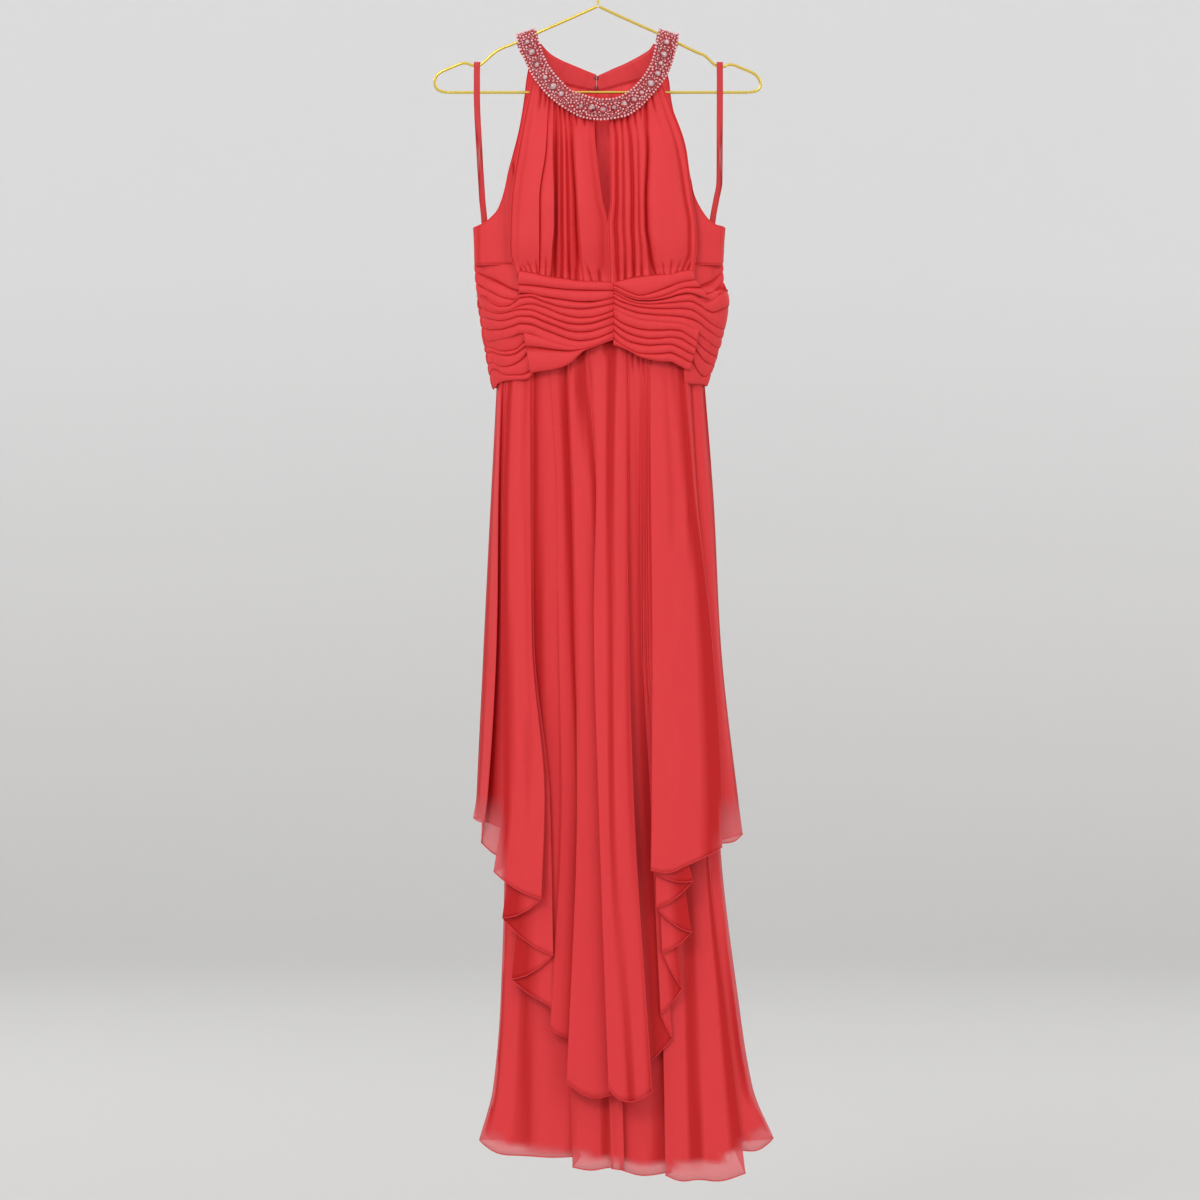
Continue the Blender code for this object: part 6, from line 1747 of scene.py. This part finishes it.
# %% Collar bands
def station_sheet(stations, columns, rows, belly=0.0):
    """A band from its two long edges."""
    count = len(stations)
    places = np.linspace(0, count - 1, columns)
    table = np.array(stations)
    paths = [smooth(np.arange(count), table[:, k], places) for k in range(table.shape[1])]
    inner_x, inner_drop, outer_x, outer_drop, depth = paths
    across = np.linspace(0, 1, rows)[None, :]
    x = inner_x[:, None] + across * (outer_x - inner_x)[:, None]
    drop = inner_drop[:, None] + across * (outer_drop - inner_drop)[:, None]
    bulge = belly * 4 * across * (1 - across) * np.sign(depth)[:, None]
    return np.stack([x, drop, depth[:, None] + bulge], axis=2)


def met_at_centre(sheet, end):
    """The end at centre back runs on until the two halves all but touch."""
    near = np.clip(1 - np.abs(sheet[..., 0] - sheet[end, :, 0]) / MEETING_REACH, 0, 1)
    side = -1 if end else 1
    sheet[..., 0] += (NECK_SLIT_X + side * SEAM - sheet[end, :, 0]) * near
    return sheet


def band_normals(points):
    """Unit normals of a band that may turn right round a wire."""
    along = np.gradient(points, axis=0)
    across = np.gradient(points, axis=1)
    normals = np.cross(across, along)
    return normals / np.linalg.norm(normals, axis=2, keepdims=True)


def make_collar():
    points = metres(station_sheet(COLLAR_FRONT, columns=220, rows=18, belly=COLLAR_BELLY))
    front = cloth("collar_front_band", points, beaded_satin, COLLAR_THICK)
    for name, table, node in (("collar_back_left_band", COLLAR_BACK_LEFT, "collar_back_left"),
                              ("collar_back_right_band", COLLAR_BACK_RIGHT, "collar_back_right")):
        end = -1 if name == "collar_back_left_band" else 0
        back = met_at_centre(station_sheet(table, columns=60, rows=10), end)
        back = rippled(metres(back), strength=0.3, phase=0.7)
        piece = cloth(name, back, lining_satin, COLLAR_BACK_THICK)
        rolls = [roll_along(name + "_top", back[:, 0], ROLL_RADIUS, lining_satin),
                 roll_along(name + "_seam", back[:, -1], ROLL_RADIUS, lining_satin)]
        sew_in(piece, back, "stretched", ["hanger_arm_left"], "satin", node, with_pieces=rolls)
    return front, points


collar_band, collar_points = make_collar()


# %% Places for the beads
PEARL_RADIUS = 1.75          # millimetres, along the edges
FIELD_PEARL_RADIUS = 1.5
SEED_RADIUS = 0.9
STONE_RADIUS = 4.7
EDGE_SPACING = 4.5
EDGE_ROOM = 0.8              # of its radius, that an edge pearl keeps free
FIELD_ROOM = 0.93
PEARL_SIZES = (0.9, 1.08)
FIELD_SIZES = (0.85, 1.1)
STONE_SIZES = (0.72, 1.0, 0.84)
BEAD_STANDS = 0.45           # of its radius, above the band
FRONT_ONLY = 3.0             # millimetres of depth; the folded ends lie behind
FACE_COLUMNS = 900
FACE_ROWS = 80
FACE_EDGES = (3, FACE_ROWS - 4)
FACE_INSET = (4, 7)          # columns and rows that the loose beads keep off
MOST_BEADS = 4000
FAR_OFF = 9.0
BEAD_SEED = 7
FIELD_TRIES = 5000
FIELD_GAP = 1.5              # millimetres at most that a loose bead keeps free round itself
SEED_TRIES = 4000
SEED_GAP = 0.6
Bead = namedtuple("Bead", "place normal size")


def collar_frames():
    """Every point of the band's face with its normal, on a fine grid."""
    fine = metres(station_sheet(COLLAR_FRONT, FACE_COLUMNS, FACE_ROWS, COLLAR_BELLY))
    return fine, band_normals(fine)


def place_beads():
    fine, normals = collar_frames()
    surface = fine + normals * COLLAR_THICK / 2
    rng = random.Random(BEAD_SEED)
    pearls, stones, seeds = [], [], []
    places, sizes, count = np.full((MOST_BEADS, 3), FAR_OFF), np.zeros(MOST_BEADS), 0

    def free(place, reach):
        away = np.linalg.norm(places[:count] - place, axis=1)
        return bool(np.all(away > (reach + sizes[:count]) * MM))

    def put_bead(group, i, j, radius):
        nonlocal count
        places[count], sizes[count] = surface[i, j], radius
        count += 1
        group.append(Bead(surface[i, j] + normals[i, j] * radius * MM * BEAD_STANDS,
                          normals[i, j], radius * MM))

    x, drop = fine[..., 0] / MM, -(fine[..., 2] + HOOK_RISE) / MM
    facing = -fine[..., 1] > FRONT_ONLY * MM
    for number, spot in enumerate(CRYSTALS):
        away = np.where(facing, np.hypot(x - spot.x, drop - spot.drop), np.inf)
        i, j = np.unravel_index(np.argmin(away), away.shape)
        put_bead(stones, i, j, STONE_RADIUS * STONE_SIZES[number % len(STONE_SIZES)])
    for j in FACE_EDGES:
        run = np.concatenate([[0], np.cumsum(np.linalg.norm(np.diff(fine[:, j], axis=0), axis=1))])
        for at in np.arange(EDGE_SPACING, run[-1] / MM - 1, EDGE_SPACING):
            i = int(np.searchsorted(run, at * MM))
            if free(surface[i, j], PEARL_RADIUS * EDGE_ROOM):
                put_bead(pearls, i, j, PEARL_RADIUS * rng.uniform(*PEARL_SIZES))
    for tries, radius, group, gap in ((FIELD_TRIES, FIELD_PEARL_RADIUS, pearls, FIELD_GAP),
                                      (SEED_TRIES, SEED_RADIUS, seeds, SEED_GAP)):
        for _ in range(tries):
            i = rng.randrange(FACE_INSET[0], FACE_COLUMNS - FACE_INSET[0])
            j = rng.randrange(FACE_INSET[1], FACE_ROWS - FACE_INSET[1])
            if free(surface[i, j], radius * FIELD_ROOM + gap * rng.random()):
                put_bead(group, i, j, radius * rng.uniform(*FIELD_SIZES))
    return pearls, stones, seeds


pearls, stones, seeds = place_beads()
print("pearls %d, stones %d, seed beads %d" % (len(pearls), len(stones), len(seeds)))


# %% Sewing the beads on
def bead_tree(name, shape):
    """Geometry nodes that set a bead on every point, turned to its normal."""
    tree = bpy.data.node_groups.new(name, "GeometryNodeTree")
    tree.interface.new_socket("Places", in_out="INPUT", socket_type="NodeSocketGeometry")
    facets = tree.interface.new_socket("Facets", in_out="INPUT", socket_type="NodeSocketInt")
    finish = tree.interface.new_socket("Finish", in_out="INPUT", socket_type="NodeSocketMaterial")
    tree.interface.new_socket("Beads", in_out="OUTPUT", socket_type="NodeSocketGeometry")
    start = tree.nodes.new("NodeGroupInput")
    count = start.outputs["Facets"]
    if shape == "round":
        ball = add(tree, "GeometryNodeMeshUVSphere", [(count, "Segments")], in_Rings=6,
                   in_Radius=1.0)
        body = add(tree, "GeometryNodeSetShadeSmooth", [(ball.outputs["Mesh"], "Geometry")])
        bead = body.outputs["Geometry"]
    else:
        crown = add(tree, "GeometryNodeMeshCone", [(count, "Vertices")], in_Radius_Top=0.55,
                    in_Radius_Bottom=1.0, in_Depth=0.5)
        girdle = add(tree, "GeometryNodeMeshCone", [(count, "Vertices")], in_Radius_Top=1.0,
                     in_Radius_Bottom=0.8, in_Depth=0.35)
        low = add(tree, "GeometryNodeTransform", [(girdle.outputs["Mesh"], "Geometry")],
                  in_Translation=(0, 0, -0.35))
        both = add(tree, "GeometryNodeJoinGeometry", [(crown.outputs["Mesh"], "Geometry")])
        tree.links.new(low.outputs["Geometry"], both.inputs["Geometry"])
        flat = add(tree, "GeometryNodeSetShadeSmooth", [(both.outputs["Geometry"], "Geometry")])
        flat.inputs["Shade Smooth"].default_value = False
        bead = flat.outputs["Geometry"]
    facing = add(tree, "GeometryNodeInputNamedAttribute", data_type="FLOAT_VECTOR",
                 in_Name="facing")
    size = add(tree, "GeometryNodeInputNamedAttribute", data_type="FLOAT", in_Name="size")
    turn = add(tree, "FunctionNodeAlignEulerToVector", [(facing.outputs[0], "Vector")], axis="Z")
    sown = add(tree, "GeometryNodeInstanceOnPoints",
               [(start.outputs["Places"], "Points"), (bead, "Instance"),
                (turn.outputs["Rotation"], "Rotation"), (size.outputs[0], "Scale")])
    real = add(tree, "GeometryNodeRealizeInstances", [(sown.outputs["Instances"], "Geometry")])
    done = add(tree, "GeometryNodeSetMaterial",
               [(real.outputs["Geometry"], "Geometry"), (start.outputs["Finish"], "Material")])
    add(tree, "NodeGroupOutput", [(done.outputs["Geometry"], "Beads")])
    return tree, facets.identifier, finish.identifier


def sew_beads(name, beads, shape, facets, finish):
    mesh = bpy.data.meshes.new(name)
    mesh.from_pydata([tuple(bead.place) for bead in beads], [], [])
    facing = mesh.attributes.new("facing", "FLOAT_VECTOR", "POINT")
    facing.data.foreach_set("vector", np.array([bead.normal for bead in beads]).ravel())
    size = mesh.attributes.new("size", "FLOAT", "POINT")
    size.data.foreach_set("value", [bead.size for bead in beads])
    made = put(name, mesh)
    tree, facets_id, finish_id = bead_tree(name, shape)
    sewn = made.modifiers.new("beads", "NODES")
    sewn.node_group = tree
    sewn[facets_id] = facets
    sewn[finish_id] = finish
    bake(made)
    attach(made, "root")
    return made


bead_pieces = [
    sew_beads("collar_pearls", pearls, "round", 8, pearl),
    sew_beads("collar_seed_beads", seeds, "round", 6, seed_bead),
    sew_beads("collar_stones", stones, "cut", 8, crystal),
]
sew_in(collar_band, collar_points, "stretched", ["hanger_arm_left", "hanger_arm_right"], "beading",
       "collar_front", with_pieces=bead_pieces)

# %% [markdown]
# ## Hanger and ribbons
# The hanger is one gold-plated wire bent into shoulders, notches and a bar, with its hook set on
# top. Narrow satin ribbons, sewn into the armholes, loop over the notches; each turns once on its
# way up. The wire is a round roll along its bends, the ribbon a flat strip that turns with them.

# %% Hanger tables
ARM_LEFT = rows_of(Spot, (
    (-1.2, 0.6), (-40.3, 18.2), (-79.3, 35.1), (-106.6, 48.1), (-130, 56.6), (-140.4, 65),
    (-153.4, 77.4), (-161.2, 79.3), (-174.2, 72.8), (-192.4, 80.6), (-209.3, 87.8),
    (-214.2, 97.5), (-210.6, 110.5), (-196.3, 112.8),
))
ARM_RIGHT = rows_of(Spot, (
    (1.2, 0.6), (39, 18.2), (79.3, 35.9), (104, 48.1), (130, 61.1), (140.4, 64.4), (153.4, 78.6),
    (163.2, 80.6), (172.1, 74.8), (189.8, 81.9), (206.7, 89), (214, 101), (209.3, 110.9),
    (196.3, 112.8),
))
BAR_DROP = 112.8
BAR_ENDS = (-195.8, 195.8)
HOOK_FOOT = 0.0021
HOOK_RADIUS = 0.019
WIRE_RADIUS = 0.0019
BAR_POINTS = 60
HOOK_SHANK = rows_of(Spot, (
    (0, -9), (0, -17), (2, -27), (7.5, -36.5),
))
HOOK_BOW = (-48, 205)
HOOK_BOW_STEPS = 14
HOOK_TIP = Spot(-18.5, 15.5)  # measured from the bow's centre


# %% Hanger
def rounded(points, passes):
    """Corner cutting that keeps both ends."""
    points = np.asarray(points, float)
    for _ in range(passes):
        near = 0.75 * points[:-1] + 0.25 * points[1:]
        far = 0.25 * points[:-1] + 0.75 * points[1:]
        middle = np.stack([near, far], axis=1).reshape(-1, points.shape[1])
        points = np.concatenate([points[:1], middle[1:-1], points[-1:]])
    return points


def in_hanger_plane(points):
    return [(x, 0.0, z) for x, z in points]


def hanger_path(spots):
    return [(spot.x * MM, -HOOK_RISE - spot.drop * MM) for spot in spots]


def hook_path():
    """The shank, the bow as an arc, and the tip; the bow's inside top is the origin."""
    bow_z = WIRE_RADIUS - HOOK_RADIUS
    path = [(0.0, -HOOK_RISE + HOOK_FOOT)] + hanger_path(HOOK_SHANK)
    first, last = HOOK_BOW
    for k in range(HOOK_BOW_STEPS + 1):
        angle = math.radians(first + k * (last - first) / HOOK_BOW_STEPS)
        path.append((HOOK_RADIUS * math.cos(angle), bow_z + HOOK_RADIUS * math.sin(angle)))
    path.append((HOOK_TIP.x * MM, bow_z - HOOK_TIP.drop * MM))
    return rounded(path, 2)


def make_hanger():
    bar_z = -HOOK_RISE - BAR_DROP * MM
    paths = {
        "hanger_hook": hook_path(),
        "hanger_arm_left": rounded(hanger_path(ARM_LEFT), 3),
        "hanger_arm_right": rounded(hanger_path(ARM_RIGHT), 3),
        "hanger_bar": [(x, bar_z) for x in np.linspace(*BAR_ENDS, BAR_POINTS) * MM],
    }
    for node, path in paths.items():
        piece = roll_along(node + "_wire", in_hanger_plane(path), WIRE_RADIUS, gold,
                           WIRE_SIDES)
        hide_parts(node)
    print("hanger wires:", len(paths))


make_hanger()


# %% Ribbon tables
RIBBON_ARM_DROP = 76.0       # of the notches that carry the ribbons
RIBBON_LEFT = rows_of(Strand, (
    (-147.6, 296.4, 1.5, 0),
    (-148.8, 276.9, 1.8, 0),
    (-151.1, 253.5, 3.0, 8),
    (-152.6, 230.1, 4.5, 25),
    (-154, 210.6, 5.2, 52),
    (-154.8, 193.7, 5.2, 68),
    (-155.7, 178.1, 4.8, 45),
    (-156.5, 162.5, 4.2, 15),
    (-157.6, 141.7, 3.4, 0),
    (-158.3, 115.7, 3.0, 0),
    (-158.3, 93.6, 2.9, 0),
    (-158.1, 80, 2.8, 0),
))
RIBBON_RIGHT = rows_of(Strand, (
    (148.2, 296.4, 1.5, 0),
    (150.2, 276.9, 1.8, 0),
    (154.4, 253.5, 3.0, -8),
    (158.6, 230.1, 4.5, -25),
    (158.9, 211.9, 5.2, -52),
    (159, 196.3, 5.2, -68),
    (159, 179.4, 4.8, -45),
    (159, 162.5, 4.2, -15),
    (159.1, 141.7, 3.4, 0),
    (159.2, 115.7, 3.0, 0),
    (159.2, 93.6, 2.9, 0),
    (159.1, 80.6, 2.8, 0),
))
RIBBON_ROWS = 120
RIBBON_LOOP_STEPS = 16
RIBBON_COLUMNS = 5
RIBBON_WIDTH = 0.0080
RIBBON_THICK = 0.0006


# %% Ribbons
def ribbon_points(strands):
    """Points up the front of the ribbon, over the wire and down the back, across its width."""
    count = len(strands)
    at = np.linspace(0, count - 1, RIBBON_ROWS)
    x, drop, depth, turn = [smooth(np.arange(count), [row[k] for row in strands], at)
                            for k in range(4)]
    rows = []
    for k in range(len(at)):
        angle = math.radians(turn[k])
        middle = np.array((x[k], -depth[k], -drop[k]))
        rows.append((middle, np.array((math.cos(angle), -math.sin(angle), 0.0))))
    top = strands[-1]
    for k in range(1, RIBBON_LOOP_STEPS):
        angle = math.pi * k / RIBBON_LOOP_STEPS
        middle = (top.x, -top.depth * math.cos(angle),
                  -RIBBON_ARM_DROP + top.depth * math.sin(angle))
        rows.append((np.array(middle), np.array((1.0, 0.0, 0.0))))
    for k in range(len(at) - 1, -1, -1):
        middle = (x[k], min(depth[k], top.depth), -drop[k])
        rows.append((np.array(middle), np.array((1.0, 0.0, 0.0))))
    across = np.linspace(-0.5, 0.5, RIBBON_COLUMNS)
    points = np.array([[middle * MM + side * RIBBON_WIDTH * share for middle, side in rows]
                       for share in across])
    points[..., 2] -= HOOK_RISE
    return points


def make_ribbons():
    for name, strands in (("ribbon_left", RIBBON_LEFT), ("ribbon_right", RIBBON_RIGHT)):
        piece = cloth(name + "_strap", ribbon_points(strands), ribbon_satin, RIBBON_THICK)
        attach(piece, "root")
        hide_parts(name)
        print("%s: %d faces" % (piece.name, len(piece.data.polygons)))


make_ribbons()

# %% Hooks and eyes keep their solids
# They are small and their shape is right, so they only get their metal
for node in ("hook_eye_upper", "hook_eye_lower"):
    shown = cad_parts[node]
    for place in shown.material_slots:
        place.material = steel
print("hooks and eyes finished in", steel.name)
